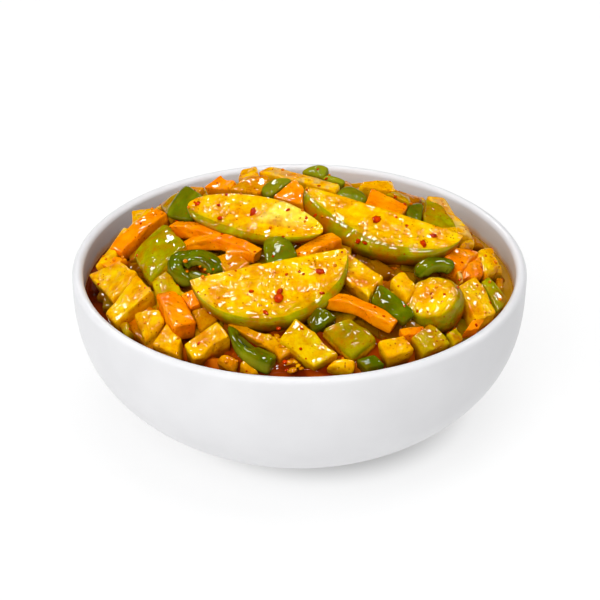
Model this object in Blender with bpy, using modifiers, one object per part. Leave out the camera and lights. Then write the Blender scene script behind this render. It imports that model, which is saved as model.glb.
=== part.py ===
"""Bowl of achar: pieces of green mango, carrot and green chilli in spiced oil, heaped in a stoneware bowl.

The bowl is turned, the oil is a turned ring up to its level, and the heap is a core with the pieces
that show fused on it. The pieces that lie free on top are nodes of their own. Metres, +Z up, with the
origin at the middle of the bowl's flat base and the serving side towards -Y.
"""

import math
import random

import bmesh
import bpy
from mathutils import Matrix, Vector, noise

MM = 0.001

# The bowl: 160 mm across the rim, with a wall as thick as plain stoneware has.
RIM_RADIUS = 80.0
BASE_RADIUS = 38.0
BOWL_HEIGHT = 59.1
WALL = 3.9
FLOOR = 6.0
LIP_RADIUS = WALL / 2
# The side follows r = base + (rim - base) * (1 - (1 - z / height) ** SIDE_RISE) ** (1 / SIDE_SWELL).
SIDE_RISE = 3.05
SIDE_SWELL = 1.082
BOWL_STEPS = 48
SIDE_POINTS = 9
LIP_POINTS = 6

# The contents: the oil's level, and the core that stands in the oil.
OIL_LEVEL = 48.5
CORE_FOOT_RADIUS = 30.0
CORE_RADIUS = 63.0
GAP = 0.3
ABOVE_ALL = 100.0

# The heap's own surface is a low dome whose peak lies a little behind the middle of the bowl.
HEAP_EDGE = 53.0
HEAP_RISE = 23.0
HEAP_RADIUS = 80.0
HEAP_PEAK_Y = 14.0
# Behind this line the core and what lies loose on it fall off more, towards the wall.
BACK_LINE = 40.0
BACK_FALL = 0.35
CORE_DEPTH = 7.0
CORE_BUMP = 1.6
CORE_BUMP_SIZE = 9.0
CORE_OVER_OIL = 1.5
CORE_STEPS = 32
CORE_RINGS = 7
CORE_SKIRT = 6.0
CORE_SPARE = 1.5

# How far a topping's cutter stands proud of it, so that no two pieces touch. A second one reaches up
# by the shadow from the faces that look up, so that nothing lies over the topping.
CLEARANCE = 0.35
SHADOW_CLEARANCE = 0.21
SHARPEST_CORNER = 2.5
SHADOW = 16.0
SHADOW_FACING = 0.12

SEED = 1

PARTS = "bowl_of_achar"
CUTTERS = "cutters"

# Colours as linear red, green and blue, then roughness.
FINISHES = {
    "stoneware": ((0.82, 0.82, 0.84), 0.18),
    "spiced_oil": ((0.20, 0.035, 0.002), 0.08),
    "mixed_achar": ((0.75, 0.36, 0.012), 0.28),
    "mango_flesh": ((0.88, 0.50, 0.006), 0.25),
    "mango_skin": ((0.25, 0.31, 0.012), 0.25),
    "carrot": ((0.95, 0.22, 0.006), 0.25),
    "green_chilli": ((0.07, 0.19, 0.006), 0.15),
}

# Chunks fused to the heap: what is cut, the corners of the top in order round it, each as x, y and lift
# over the heap's surface in mm, then the height below the top, and how square the outline is.
HEAP_CHUNKS = (
    ("mango", ((-74.5, -2.8, 0.5), (-62.7, -6.1, 2.5), (-56.0, -16.0, 2.5), (-64.4, -23.7, 0.5)), 12, 16),
    ("mango", ((-66.4, -29.1, 1.0), (-55.9, -17.9, 3.5), (-50.1, -28.6, 3.5), (-62.9, -34.6, 1.0)), 10, 16),
    ("mango", ((-61.5, 32.7, 1.5), (-52.6, 26.6, 1.5), (-52.6, 14.1, 0.5), (-60.4, 16.3, 0.5)), 11, 16),
    ("mango", ((-71.9, 0.1, 0.0), (-63.2, 20.3, 1.0), (-59.9, 15.6, 1.5), (-68.2, -0.4, 0.5)), 10, 16),
    ("carrot", ((-70.0, -0.3, 0.5), (-64.6, -0.1, 1.0), (-60.5, -2.6, 0.0), (-67.3, -3.4, 0.0)), 6, 16),
    ("skinned_mango",
     ((-51.2, 33.2, 0.0), (-43.2, 36.0, 2.0), (-39.6, 22.0, 2.0), (-47.9, 19.8, 0.0)), 11, 16),
    ("carrot", ((-34.9, 37.4, 0.0), (-29.2, 43.2, 2.0), (-23.3, 30.4, 2.5), (-25.1, 28.3, 0.0)), 9, 16),
    ("soaked_mango",
     ((-25.0, 27.5, 0.5), (-19.8, 35.9, 2.0), (-10.6, 31.4, 3.0), (-14.4, 20.7, 0.5)), 10, 16),
    ("mango", ((-22.9, 42.2, 0.5), (-21.6, 50.2, 1.5), (-16.1, 50.6, 1.5), (-13.6, 32.9, 1.5)), 10, 7),
    ("carrot", ((-9.7, 17.3, 0.5), (-1.9, 24.3, 4.0), (1.6, 17.2, 3.0), (1.3, 9.7, 0.5)), 10, 16),
    ("carrot", ((3.8, 18.4, 0.5), (11.3, 21.9, 0.5), (11.6, 17.8, 0.0), (4.8, 14.6, 0.0)), 7, 16),
    ("carrot", ((17.2, 14.2, 0.0), (26.2, 15.4, 0.0), (26.8, 12.5, 0.0), (18.6, 9.2, 0.0)), 7, 16),
    ("mango", ((21.5, 29.6, 0.5), (23.1, 33.0, 1.5), (34.4, 41.3, 1.5), (35.1, 31.5, 0.5)), 9, 16),
    ("olive_mango", ((31.2, 27.1, 0.5), (33.9, 30.5, 1.0), (40.1, 30.6, 1.0), (40.1, 23.0, 0.5)), 9, 16),
    ("dry_mango", ((46.3, 31.2, 2.5), (52.3, 32.5, 3.5), (62.4, 9.4, 1.5), (56.5, 7.6, 2.0)), 13, 16),
    ("skinned_mango", ((45.6, 30.2, 1.8), (50.7, 25.2, 2.6), (57.6, 7.7, 1.8), (43.9, 5.8, 0.5)), 13, 16),
    ("mango", ((47.3, 3.6, 2.5), (55.9, 10.4, 3.0), (56.8, 6.2, 2.5), (51.2, -3.3, 1.5)), 8, 16),
    ("mango", ((56.6, 2.6, 1.0), (61.3, 9.2, 1.5), (62.6, 6.2, 1.0), (57.9, 0.4, 0.5)), 9, 4),
    ("mango", ((61.9, 2.7, 2.0), (69.9, 12.0, 2.0), (71.0, -1.9, 0.5), (65.0, -10.7, 0.5)), 13, 4),
    ("carrot", ((50.1, -10.0, 2.5), (53.7, -2.6, 2.0), (64.4, 1.9, 2.0), (56.5, -14.1, 2.5)), 12, 9),
    ("carrot", ((56.7, -11.6, 1.5), (64.3, 0.1, 1.5), (64.3, -10.5, 0.0), (56.9, -16.2, -0.5)), 10, 9),
    ("mango", ((53.9, -23.8, 2.0), (61.1, -14.0, 2.0), (67.9, -28.1, 2.0), (60.4, -36.6, 2.0)), 12, 16),
    ("skinned_mango",
     ((63.3, -14.4, 0.5), (66.1, -10.2, 1.0), (72.3, -18.0, 0.5), (68.2, -25.6, 0.0)), 9, 16),
    ("mango", ((30.4, -27.9, 1.5), (35.0, -22.1, 2.0), (40.6, -27.6, 1.5), (36.3, -35.4, 1.0)), 11, 5),
    ("mango", ((15.6, -17.5, 1.5), (28.7, -28.0, 2.0), (23.0, -37.3, 1.5), (14.1, -28.4, 0.5)), 11, 16),
    ("soaked_mango",
     ((-29.3, -17.0, 1.0), (-21.1, -15.4, 1.0), (-16.9, -21.4, 0.0), (-23.9, -27.2, 0.0)), 10, 16),
    ("soaked_mango",
     ((-20.3, -22.6, -0.5), (-12.8, -20.3, -0.5), (-10.7, -23.8, -1.0), (-18.1, -26.6, -1.0)), 8, 6),
    ("olive_mango",
     ((-50.5, -21.7, 1.0), (-45.9, -17.8, 1.0), (-38.4, -30.7, 0.5), (-48.2, -33.3, 0.0)), 11, 16),
    ("carrot", ((-40.4, -31.5, 1.0), (-35.7, -30.4, 1.0), (-33.4, -36.8, 0.5), (-36.8, -37.5, 0.0)), 8, 16),
    ("mango", ((-57.1, -32.9, 1.5), (-47.0, -35.5, 2.0), (-45.8, -40.7, 1.5), (-52.4, -46.3, 0.5)), 12, 6),
    ("mango", ((-49.2, -49.0, 1.0), (-44.7, -42.8, 2.0), (-39.4, -49.8, 1.0), (-40.6, -54.8, 0.5)), 11, 16),
    ("mango", ((-38.9, -52.2, 1.5), (-27.0, -47.5, 3.0), (-22.9, -53.2, 2.5), (-35.5, -57.5, 1.0)), 12, 16),
    ("soaked_mango",
     ((-36.9, -36.8, -1.0), (-30.4, -36.4, -1.0), (-26.9, -42.3, -1.5), (-33.6, -45.5, -1.5)), 9, 6),
    ("mango", ((-27.8, -59.0, 0.5), (-25.5, -57.4, 1.0), (-19.5, -59.9, 0.5), (-22.1, -62.8, 0.0)), 8, 4),
    ("mango",
     ((-20.2, -60.9, -0.5), (-18.6, -59.2, 0.0), (-12.3, -63.7, -0.5), (-17.5, -63.8, -1.0)), 8, 4),
    ("soaked_mango",
     ((-24.4, -46.7, 0.5), (-19.1, -47.8, 0.5), (-5.1, -55.2, 0.5), (-9.0, -57.2, -0.5)), 8, 16),
    ("carrot", ((-9.7, -56.3, 0.5), (-5.1, -54.5, 0.5), (-2.1, -57.6, 0.0), (-6.7, -60.4, -0.5)), 8, 6),
    ("soaked_mango",
     ((-5.4, -53.6, 0.0), (-2.4, -54.8, 0.0), (-2.1, -58.1, -0.5), (-5.1, -57.6, -1.0)), 7, 5),
    ("mango", ((-6.7, -55.3, 1.5), (-1.1, -48.6, 3.0), (12.7, -60.5, 2.0), (4.8, -64.0, 0.5)), 11, 16),
    ("chilli", ((2.5, -47.2, 0.5), (5.9, -43.1, 1.5), (12.8, -46.0, 1.0), (4.5, -50.8, 0.0)), 9, 16),
    ("mango", ((26.3, -54.3, 2.0), (34.7, -50.9, 2.5), (38.3, -54.2, 1.5), (29.2, -58.4, 0.5)), 13, 16),
    ("chilli", ((18.9, -59.8, 0.0), (24.6, -57.3, 0.0), (28.5, -59.8, 0.0), (22.5, -63.4, 0.0)), 8, 16),
    ("mango", ((8.4, -63.4, 0.0), (11.4, -60.8, 1.0), (18.9, -60.3, 0.5), (18.2, -63.9, 0.0)), 8, 4),
    ("carrot", ((33.5, -47.1, 0.5), (41.7, -43.7, 0.5), (42.0, -45.5, 0.0), (35.1, -49.2, 0.0)), 7, 16),
    ("olive_mango",
     ((37.1, -49.5, 0.5), (44.1, -42.4, 1.5), (51.4, -46.3, 0.5), (41.7, -53.2, -0.5)), 11, 16),
    ("olive_mango",
     ((49.5, -43.4, 0.0), (53.5, -39.7, 0.5), (55.7, -42.6, 0.0), (52.1, -46.3, 0.0)), 8, 16),
    ("carrot", ((56.1, -40.7, 1.0), (58.4, -36.2, 1.5), (63.1, -33.0, 1.0), (61.1, -38.0, 0.5)), 9, 16),
    ("olive_mango",
     ((-62.4, -33.4, -0.5), (-58.2, -34.3, 0.0), (-56.9, -38.8, -0.5), (-59.3, -39.3, -1.0)), 7, 5),
    ("chilli", ((7.9, 35.6, 0.5), (10.1, 38.0, 1.5), (16.9, 33.0, 1.0), (16.1, 29.8, 0.5)), 6, 4),
    ("soaked_mango",
     ((0.5, 34.0, -1.0), (0.5, 44.0, -1.0), (11.5, 44.0, -1.0), (11.5, 34.5, -1.0)), 10, 16),
)
CHUNK_BEVEL = 1.1
CHUNK_UNEVEN = 0.9
CORNER_UNEVEN = 0.3
CHUNK_TAPER = 0.9
CHUNK_UPRIGHT = 0.6
ROUND_BELOW = 8.0

# Chunks that a rule lays behind and between the ones above, where the heap would be bare.
FILL_SPACING = 11.0
FILL_REACH = 67.0
FILL_CLEAR = 8.5
FILL_LENGTH = (8.5, 13.0)
FILL_WIDTH_SHARE = (0.7, 1.0)
FILL_HEIGHT = 10.0
FILL_LIFT = (-4.5, -2.0)
FILL_TILT = 12.0
FILL_STRAY = 1.5
FOOTPRINT = 0.7

# Carrot batons that lie on the heap: their two ends and the middle, each as a place and a lift in mm,
# then width and thickness.
CARROT_BATONS = (
    ("carrot_baton_left", ((-49.5, 21.5, 1.5), (-57.5, 13.5, 1.8), (-65.5, 5.0, 1.0)), 6.2, 6.0),
    ("carrot_baton_upper_left", ((-45.0, 9.0, 1.0), (-36.0, 2.5, 1.5), (-27.5, -4.0, 0.0)), 5.2, 5.0),
    ("carrot_strip_arched",
     ((-41.7, -5.2, -0.5), (-36.4, -5.2, 1.0), (-27.5, -8.2, 2.0), (-19.8, -13.1, 1.8),
                             (-13.9, -17.4, 0.8)), 4.6, 4.6),
    ("carrot_baton_middle", ((-0.5, -19.0, 0.0), (6.5, -13.5, 1.0), (13.0, -9.0, 1.0)), 6.2, 6.2),
    ("carrot_baton_front", ((9.3, -37.7, 0.5), (15.3, -38.5, 1.0), (22.0, -40.6, 1.2), (27.6, -43.1, 1.2),
                            (32.3, -45.4, 1.0)), 5.0, 4.4),
    ("carrot_baton_front_left", ((-45.0, -28.5, 1.0), (-41.5, -37.5, 2.0), (-38.0, -46.0, 2.5)), 8.0, 7.5),
    ("carrot_bit_centre", ((-25.0, -14.0, 0.5), (-20.5, -15.0, 0.8), (-16.0, -16.0, 0.5)), 4.6, 4.6),
)
BATON_RINGS = 8
BATON_SIDES = 8
BATON_SQUARENESS = 5.0
BATON_BLUNTNESS = 9.0

# Green chilli pieces: a path of places and lifts, width, thickness, how blunt the two ends are, and how
# fast the start narrows.
CHILLI_PIECES = (
    ("chilli_ring_left",
     ((-36.8, -22.8, 0.0), (-40.7, -19.4, 0.3), (-43.1, -14.8, 1.0), (-40.9, -12.5, 1.8),
                          (-36.4, -13.5, 2.4), (-31.8, -16.0, 2.2), (-28.6, -19.7, 1.4), (-27.5, -23.1, 0.4)),
     5.4, 5.6, 5.0, 0.0),
    ("chilli_ring_right",
     ((39.8, -20.6, 0.8), (41.6, -18.5, 2.0), (45.0, -15.6, 3.0), (49.0, -13.3, 3.2), (52.2, -12.6, 3.0),
                          (54.5, -12.7, 2.0)), 6.0, 5.6, 5.0, 0.1),
    ("chilli_tip_front",
     ((-22.8, -47.5, 2.5), (-20.9, -51.5, 2.5), (-18.0, -55.6, 2.5), (-14.0, -59.1, 2.5),
                          (-8.0, -61.6, 2.0)), 8.2, 7.0, 9.0, 0.5),
)
CHILLI_RINGS = 13
CHILLI_SIDES = 8
CHILLI_SQUARENESS = 2.5

# Flaps of capsicum and chilli skin: corners as above, thickness, squareness of the outline, and the rise
# of the middle in mm.
CHILLI_FLAPS = (
    ("capsicum_shard_left",
     ((-41.7, 29.5, 7.0), (-33.4, 13.5, 6.0), (-38.2, 7.5, 0.5), (-49.2, 20.3, 0.0)), 3.0, 6.0, 1.0),
    ("capsicum_leaf_back",
     ((-14.5, 24.2, 1.0), (-9.1, 26.4, 4.0), (-1.2, 28.2, 3.0), (-10.5, 16.6, 0.5)), 3.0, 3.5, 1.2),
    ("capsicum_petal_back",
     ((-0.9, 41.1, 1.0), (6.1, 41.7, 4.0), (11.5, 40.8, 4.0), (8.2, 34.2, 1.0)), 3.5, 3.5, 1.5),
    ("capsicum_petal_right",
     ((11.6, 18.2, 1.0), (17.5, 25.9, 3.0), (25.2, 19.1, 2.0), (21.8, 12.9, 0.5)), 3.5, 3.5, 1.6),
    ("capsicum_bit_right",
     ((38.9, 21.2, 1.0), (45.4, 25.0, 2.0), (43.1, 10.3, 0.5), (37.8, 11.1, 0.5)), 3.5, 5.0, 1.2),
    ("chilli_fold_centre",
     ((-12.9, -11.7, 2.0), (-4.6, -11.7, 3.0), (0.5, -19.9, 0.5), (-11.3, -25.5, 0.5)), 3.5, 4.5, 1.5),
    ("chilli_strip_centre",
     ((26.9, -30.8, 2.5), (39.4, -40.5, 2.5), (34.9, -44.6, 1.0), (23.3, -38.3, 1.0)), 3.5, 7.0, 1.2),
)

# Mango wedges, cut lengthways with the skin on: the middle of the inner edge in mm, heading and pitch
# in degrees, length, depth of the flesh face, how far its inner edge bulges, the slope of that face and
# of the hidden face below the level, and the red chilli flakes on it: place along, from -1 to 1, place
# across, from 0 at the inner edge to 1 at the skin, and size.
MANGO_WEDGES = (
    ("mango_wedge_left", (-15.7, -1.2, 77.0), -27, 2.0, 53.0, 9.0, 11.0, 20, 105,
     ((-0.05, 0.45, 2.6),)),
    ("mango_wedge_right", (29.5, 5.1, 76.3), -20, -9.0, 59.0, 18.5, 2.0, 15, 75,
     ((-0.03, 0.38, 3.0), (0.61, 0.72, 2.8))),
    ("mango_wedge_front", (-10.4, -29.8, 74.2), 17, 3.6, 55.0, 22.8, 1.5, 27, 80,
     ((-0.01, 0.68, 3.0), (0.60, 0.45, 2.4))),
)
WEDGE_RINGS = 14
WEDGE_FACE_SIDES = 3
WEDGE_SKIN_SIDES = 5
WEDGE_HIDDEN_SIDES = 2
WEDGE_SWELL = 1.06
FLAKE_HEIGHT = 1.0
FLAKE_WIDTH_SHARE = 0.75
FLAKE_TURN = 35.0

# Larger cut pieces that lie free on the heap: what is cut, corners as above, and height.
CUT_PIECES = (
    ("mango_slice_back", "mango_flesh",
     ((-15.9, 42.5, 1.5), (-11.6, 46.2, 2.5), (15.0, 28.2, 1.0), (13.1, 22.2, 0.5)), 8),
    ("mango_cube_skinned_left", "mango_skin",
     ((-59.1, -1.4, 1.0), (-48.3, 10.5, 2.5), (-39.3, -8.2, 2.5), (-52.3, -20.9, 1.0)), 10),
    ("mango_chunk_skinned_front", "mango_skin",
     ((6.8, -51.7, 1.5), (16.5, -47.2, 3.0), (26.3, -53.7, 2.5), (17.6, -60.5, 1.0)), 12),
    ("carrot_cube_back", "carrot",
     ((22.9, 13.0, 1.0), (26.0, 24.4, 3.0), (39.1, 17.2, 2.5), (35.9, 8.5, 1.0)), 9),
)
CUT_SQUARENESS = 12.0

# The round end of a small mango, cut across: place, radius, lift, and the direction in which its cut
# face looks, as heading and rise in degrees. The cut lies ROUND_CUT of the radius off the ball's middle.
ROUND_PIECE = ("mango_round_right", (44.5, -33.0), 10.0, 2.6, 235, 62)
ROUND_CUT = 0.56
ROUND_SIDES = 14
ROUND_RINGS = 10


def heap_height(x, y):
    """Height in mm of the heap's surface over a place in mm."""
    off_peak = (x * x + (y - HEAP_PEAK_Y) ** 2) / HEAP_RADIUS**2
    return HEAP_EDGE + HEAP_RISE * (1 - off_peak)


def back_fall(y):
    """How far in mm the loose heap lies under its surface behind BACK_LINE."""
    return BACK_FALL * max(y - BACK_LINE, 0.0)


def heap_frame(x, y, heading, lift, pitch=0.0, roll=0.0):
    """Matrix in mm of a piece that lies on the heap: X along its heading, Z along the heap's normal."""
    slope = 2 * HEAP_RISE / HEAP_RADIUS**2
    up = Vector((slope * x, slope * (y - HEAP_PEAK_Y), 1.0)).normalized()
    ahead = Vector((math.cos(math.radians(heading)), math.sin(math.radians(heading)), 0.0))
    ahead = (ahead - up * ahead.dot(up)).normalized()
    side = up.cross(ahead)
    turn = Matrix((ahead, side, up)).transposed().to_4x4()
    tilt = Matrix.Rotation(math.radians(pitch), 4, "Y") @ Matrix.Rotation(math.radians(roll), 4, "X")
    return Matrix.Translation((x, y, heap_height(x, y) + lift)) @ turn @ tilt


def collection_named(name, shown):
    """A collection in the scene, whose objects show or only help."""
    found = bpy.data.collections.new(name)
    bpy.context.scene.collection.children.link(found)
    found.hide_render = not shown
    return found


def material_named(name):
    """The finish of that name as a Principled material."""
    found = bpy.data.materials.get(name)
    if found:
        return found
    colour, roughness = FINISHES[name]
    found = bpy.data.materials.new(name)
    found.use_nodes = True
    shader = found.node_tree.nodes["Principled BSDF"]
    shader.inputs["Base Color"].default_value = (*colour, 1.0)
    shader.inputs["Roughness"].default_value = roughness
    shader.inputs["Metallic"].default_value = 0.0
    found.diffuse_color = (*colour, 1.0)
    return found


def object_from(name, bm, collection, finish=None):
    """An object in that collection from a bmesh in mm, which is freed. A closed mesh is turned to face out."""
    bmesh.ops.triangulate(bm, faces=bm.faces)
    if bm.calc_volume(signed=True) < 0:
        bmesh.ops.reverse_faces(bm, faces=bm.faces)
    bmesh.ops.scale(bm, vec=(MM, MM, MM), verts=bm.verts)
    mesh = bpy.data.meshes.new(name)
    bm.to_mesh(mesh)
    bm.free()
    made = bpy.data.objects.new(name, mesh)
    collection.objects.link(made)
    if finish:
        mesh.materials.append(material_named(finish))
    if collection.name == CUTTERS:
        made.hide_render = True
        made.display_type = "WIRE"
    return made


def turned(name, profile, steps, collection, finish=None):
    """A profile in mm, from the axis or closed, turned round Z with a Screw modifier."""
    bm = bmesh.new()
    points = [bm.verts.new((r, 0.0, z)) for r, z in profile]
    for first, second in zip(points, points[1:]):
        bm.edges.new((first, second))
    if profile[0][0] > 0.0:
        bm.edges.new((points[-1], points[0]))
    made = object_from(name, bm, collection, finish)
    screw = made.modifiers.new("turn", "SCREW")
    screw.steps = steps
    screw.render_steps = steps
    screw.use_merge_vertices = True
    screw.merge_threshold = 0.00001
    return made


def bake(made):
    """Applies the object's modifiers, in triangles so that each later cut sees the same flat faces."""
    bpy.context.view_layer.update()
    graph = bpy.context.evaluated_depsgraph_get()
    mesh = bpy.data.meshes.new_from_object(made.evaluated_get(graph))
    bm = bmesh.new()
    bm.from_mesh(mesh)
    bmesh.ops.triangulate(bm, faces=bm.faces)
    bm.to_mesh(mesh)
    bm.free()
    made.modifiers.clear()
    old = made.data
    made.data = mesh
    bpy.data.meshes.remove(old)
    return made


def keep_largest(made):
    """Keeps the object's largest body, so that loose scraps go and sealed hollows fill."""
    bm = bmesh.new()
    bm.from_mesh(made.data)
    waiting = set(bm.faces)
    bodies = []
    while waiting:
        body = {waiting.pop()}
        front = list(body)
        while front:
            found = {other for edge in front.pop().edges for other in edge.link_faces} - body
            body |= found
            front.extend(found)
        waiting -= body
        bodies.append(body)
    if not bodies:
        raise ValueError(made.name + " lies wholly under other pieces")
    largest = max(bodies, key=lambda body: sum(face.calc_area() for face in body))
    bmesh.ops.delete(bm, geom=[face for face in bm.faces if face not in largest], context="FACES")
    bm.to_mesh(made.data)
    bm.free()
    return made


def cut(made, operation, other, solver="MANIFOLD"):
    """Joins, cuts or trims an object with another object, or with a collection of them, and applies it."""
    boolean = made.modifiers.new(operation.lower(), "BOOLEAN")
    boolean.operation = operation
    boolean.solver = solver
    if isinstance(other, bpy.types.Collection):
        boolean.operand_type = "COLLECTION"
        boolean.collection = other
    else:
        boolean.object = other
    return keep_largest(bake(made))


def grown_copy(made, collection, proud, rise):
    """A cutter that stands proud of a piece all round, with the faces that look up raised by rise mm."""
    bm = bmesh.new()
    bm.from_mesh(made.data)
    bm.normal_update()
    moves = [v.normal * min(v.calc_shell_factor(), SHARPEST_CORNER) * proud * MM for v in bm.verts]
    for vertex, move in zip(bm.verts, moves):
        vertex.co += move
        if vertex.normal.z > SHADOW_FACING:
            vertex.co.z += rise * MM
    bmesh.ops.scale(bm, vec=(1 / MM, 1 / MM, 1 / MM), verts=bm.verts)
    return object_from(made.name + "_clearance", bm, collection)


def side_radius(z):
    """Radius in mm of the bowl's outer side at a height."""
    share = 1 - (1 - z / BOWL_HEIGHT) ** SIDE_RISE
    return BASE_RADIUS + (RIM_RADIUS - BASE_RADIUS) * share ** (1 / SIDE_SWELL)


def side_profile(inset, low, high):
    """The side's outline from high to low, moved inwards by inset mm along its normal."""
    points = []
    for i in range(SIDE_POINTS):
        share = i / (SIDE_POINTS - 1)
        z = high + (low - high) * share**0.8
        rise = 0.05
        slope = (side_radius(min(z + rise, BOWL_HEIGHT)) - side_radius(max(z - rise, 0.0))) / (2 * rise)
        length = math.hypot(1.0, slope)
        points.append((side_radius(z) - inset / length, z + inset * slope / length))
    return points


def inner_side(inset):
    """The bowl's inner side from just under the lip down to the floor, moved in by inset more mm."""
    wall = side_profile(WALL, 3.5, BOWL_HEIGHT - LIP_RADIUS)
    moved = side_profile(WALL + inset, 3.5, BOWL_HEIGHT - LIP_RADIUS)
    return [point for point, (_, z) in zip(moved, wall) if z > FLOOR + 0.5]


def inner_side_from(level, inset):
    """The inner side moved in, from a level down to the floor."""
    side = inner_side(inset)
    below = [point for point in side if point[1] < level]
    above = side[len(side) - len(below) - 1]
    share = (level - below[0][1]) / (above[1] - below[0][1])
    return [(below[0][0] + (above[0] - below[0][0]) * share, level)] + below


def floor_radius():
    """Where the flat floor ends."""
    return CORE_FOOT_RADIUS + 6.0


def make_bowl(parts):
    """The bowl: floor, inner side, round lip, outer side and flat base as one turned profile."""
    inner = inner_side(0.0)
    lip = []
    for i in range(LIP_POINTS + 1):
        angle = math.pi - math.pi * i / LIP_POINTS
        middle = RIM_RADIUS - LIP_RADIUS
        height = BOWL_HEIGHT - LIP_RADIUS + LIP_RADIUS * math.sin(angle)
        lip.append((middle + LIP_RADIUS * math.cos(angle), height))
    outer = side_profile(0.0, 1.0, BOWL_HEIGHT - LIP_RADIUS - 1.5)
    foot = [(BASE_RADIUS + 1.0, 0.25), (BASE_RADIUS, 0.0)]
    up = [(0.0, FLOOR), (floor_radius(), FLOOR)] + inner[::-1][:-1]
    return turned("bowl", up + lip + outer + foot + [(0.0, 0.0)], BOWL_STEPS, parts, "stoneware")


def core_side(z):
    """Radius in mm of the core below the oil's level."""
    share = (z - FLOOR) / (OIL_LEVEL - FLOOR)
    return CORE_FOOT_RADIUS + (CORE_RADIUS - CORE_FOOT_RADIUS) * share**0.7


def core_levels():
    """Heights in mm at which the core's sunk side is drawn, from the floor to the oil's level."""
    return [FLOOR + GAP, 12.0, 22.0, 36.0, OIL_LEVEL]


def make_oil(parts):
    """The oil: a ring between the core and the bowl's side, up to its level."""
    core = [(core_side(z) + GAP, z) for z in core_levels()]
    profile = inner_side_from(OIL_LEVEL, GAP) + [(floor_radius(), FLOOR + GAP)] + core
    return turned("oil", profile, BOWL_STEPS, parts, "spiced_oil")


def make_envelope(cutters):
    """The room that the contents may fill: the core's side in the oil, then the bowl's side above it."""
    level = OIL_LEVEL + GAP
    foot = inner_side_from(level, GAP)[0]
    wall = [point for point in inner_side(GAP) if point[1] > level]
    sunk = [(core_side(z), z) for z in core_levels()]
    profile = (
        [(0.0, ABOVE_ALL), (wall[0][0], ABOVE_ALL)]
        + wall
        + [foot, (core_side(OIL_LEVEL), level)]
        + sunk[::-1]
        + [(0.0, FLOOR + GAP)]
    )
    return bake(turned("contents_room", profile, CORE_STEPS, cutters))


def make_core(parts):
    """The heap's core: a turned dome that follows the heap CORE_DEPTH lower, larger than its room."""
    dome = []
    for i in range(CORE_RINGS + 1):
        dome.append(((CORE_RADIUS + CORE_SKIRT) * i / CORE_RINGS, BOWL_HEIGHT))
    foot = [(core_side(z) + CORE_SPARE, z - CORE_SPARE) for z in core_levels()]
    profile = dome + foot[::-1] + [(0.0, FLOOR + GAP - CORE_SPARE)]
    core = bake(turned("achar_heap", profile, CORE_STEPS, parts, "mixed_achar"))
    for vertex in core.data.vertices:
        x, y, z = (c / MM for c in vertex.co)
        if z > OIL_LEVEL + 2.0:
            bump = CORE_BUMP * noise.noise(Vector((x, y, 0.0)) / CORE_BUMP_SIZE)
            lowered = heap_height(x, y) - back_fall(y) - CORE_DEPTH + bump
            vertex.co.z = max(lowered, OIL_LEVEL + GAP + CORE_OVER_OIL) * MM
    return core


def fill_mesh(length, width, height, draw):
    """A block with uneven corners: X along its length, its top at Z = 0."""
    bm = bmesh.new()
    bmesh.ops.create_cube(bm, size=1.0)
    for vertex in bm.verts:
        x, y, z = vertex.co
        vertex.co = (x * length, y * width, (z - 0.5) * height)
        vertex.co += Vector([draw.uniform(-CHUNK_UNEVEN, CHUNK_UNEVEN) for _ in range(3)])
    return bm


def outline_point(corners, angle, square):
    """A point of the superellipse that fills the four corners of a top, at an angle round it."""
    reach = (abs(math.cos(angle)) ** square + abs(math.sin(angle)) ** square) ** (-1 / square)
    across, along = reach * math.cos(angle), reach * math.sin(angle)
    a, b, c, d = corners
    near, far = (a * (1 - across) + b * (1 + across)) / 2, (d * (1 - across) + c * (1 + across)) / 2
    return (near * (1 - along) + far * (1 + along)) / 2


def cut_mesh(corners, height, square, crown, draw):
    """A cut piece in mm: its top fills four corners on the heap, and its middle rises crown mm over it.

    The outline has four points where it's square and eight where it's round. The foot lies height mm
    below, a little smaller.
    """
    tops = [Vector((x, y, heap_height(x, y) + lift)) for x, y, lift in corners]
    up = (tops[2] - tops[0]).cross(tops[3] - tops[1]).normalized()
    if up.z < 0:
        up = -up
    down = -(up + Vector((0.0, 0.0, CHUNK_UPRIGHT))).normalized() * height
    middle = sum(tops, Vector()) / len(tops)
    sides = 4 if square > ROUND_BELOW else 8
    bm = bmesh.new()
    top, foot = [], []
    for k in range(sides):
        spot = outline_point(tops, 2 * math.pi * (k + 0.5) / sides, square)
        stray = Vector([draw.uniform(-CORNER_UNEVEN, CORNER_UNEVEN) for _ in range(3)])
        top.append(bm.verts.new(spot + stray))
        foot.append(bm.verts.new(middle.lerp(spot, CHUNK_TAPER) + stray + down))
    for k in range(sides):
        after = (k + 1) % sides
        bm.faces.new((top[k], top[after], foot[after], foot[k]))
    bm.faces.new(foot)
    if crown:
        peak = bm.verts.new(middle + up * crown)
        for k in range(sides):
            bm.faces.new((top[k], peak, top[(k + 1) % sides]))
    else:
        bm.faces.new(top)
    bmesh.ops.recalc_face_normals(bm, faces=bm.faces)
    return bm


def along_path(path, share):
    """A point in mm on the smooth curve through a path's places, and its direction."""
    spots = [Vector((x, y, heap_height(x, y) + lift)) for x, y, lift in path]
    spans = len(spots) - 1
    at = min(max(share, 0.0), 1.0) * spans
    i = min(int(at), spans - 1)
    t = at - i
    before = spots[i - 1] if i > 0 else 2 * spots[0] - spots[1]
    after = spots[i + 2] if i + 2 <= spans else 2 * spots[-1] - spots[-2]
    a, b = spots[i], spots[i + 1]
    start, stop = (b - before) / 2, (after - a) / 2
    point = (2 * t**3 - 3 * t**2 + 1) * a + (t**3 - 2 * t**2 + t) * start
    point += (3 * t**2 - 2 * t**3) * b + (t**3 - t**2) * stop
    ahead = (6 * t**2 - 6 * t) * (a - b) + (3 * t**2 - 4 * t + 1) * start + (3 * t**2 - 2 * t) * stop
    return point, ahead.normalized()


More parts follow.
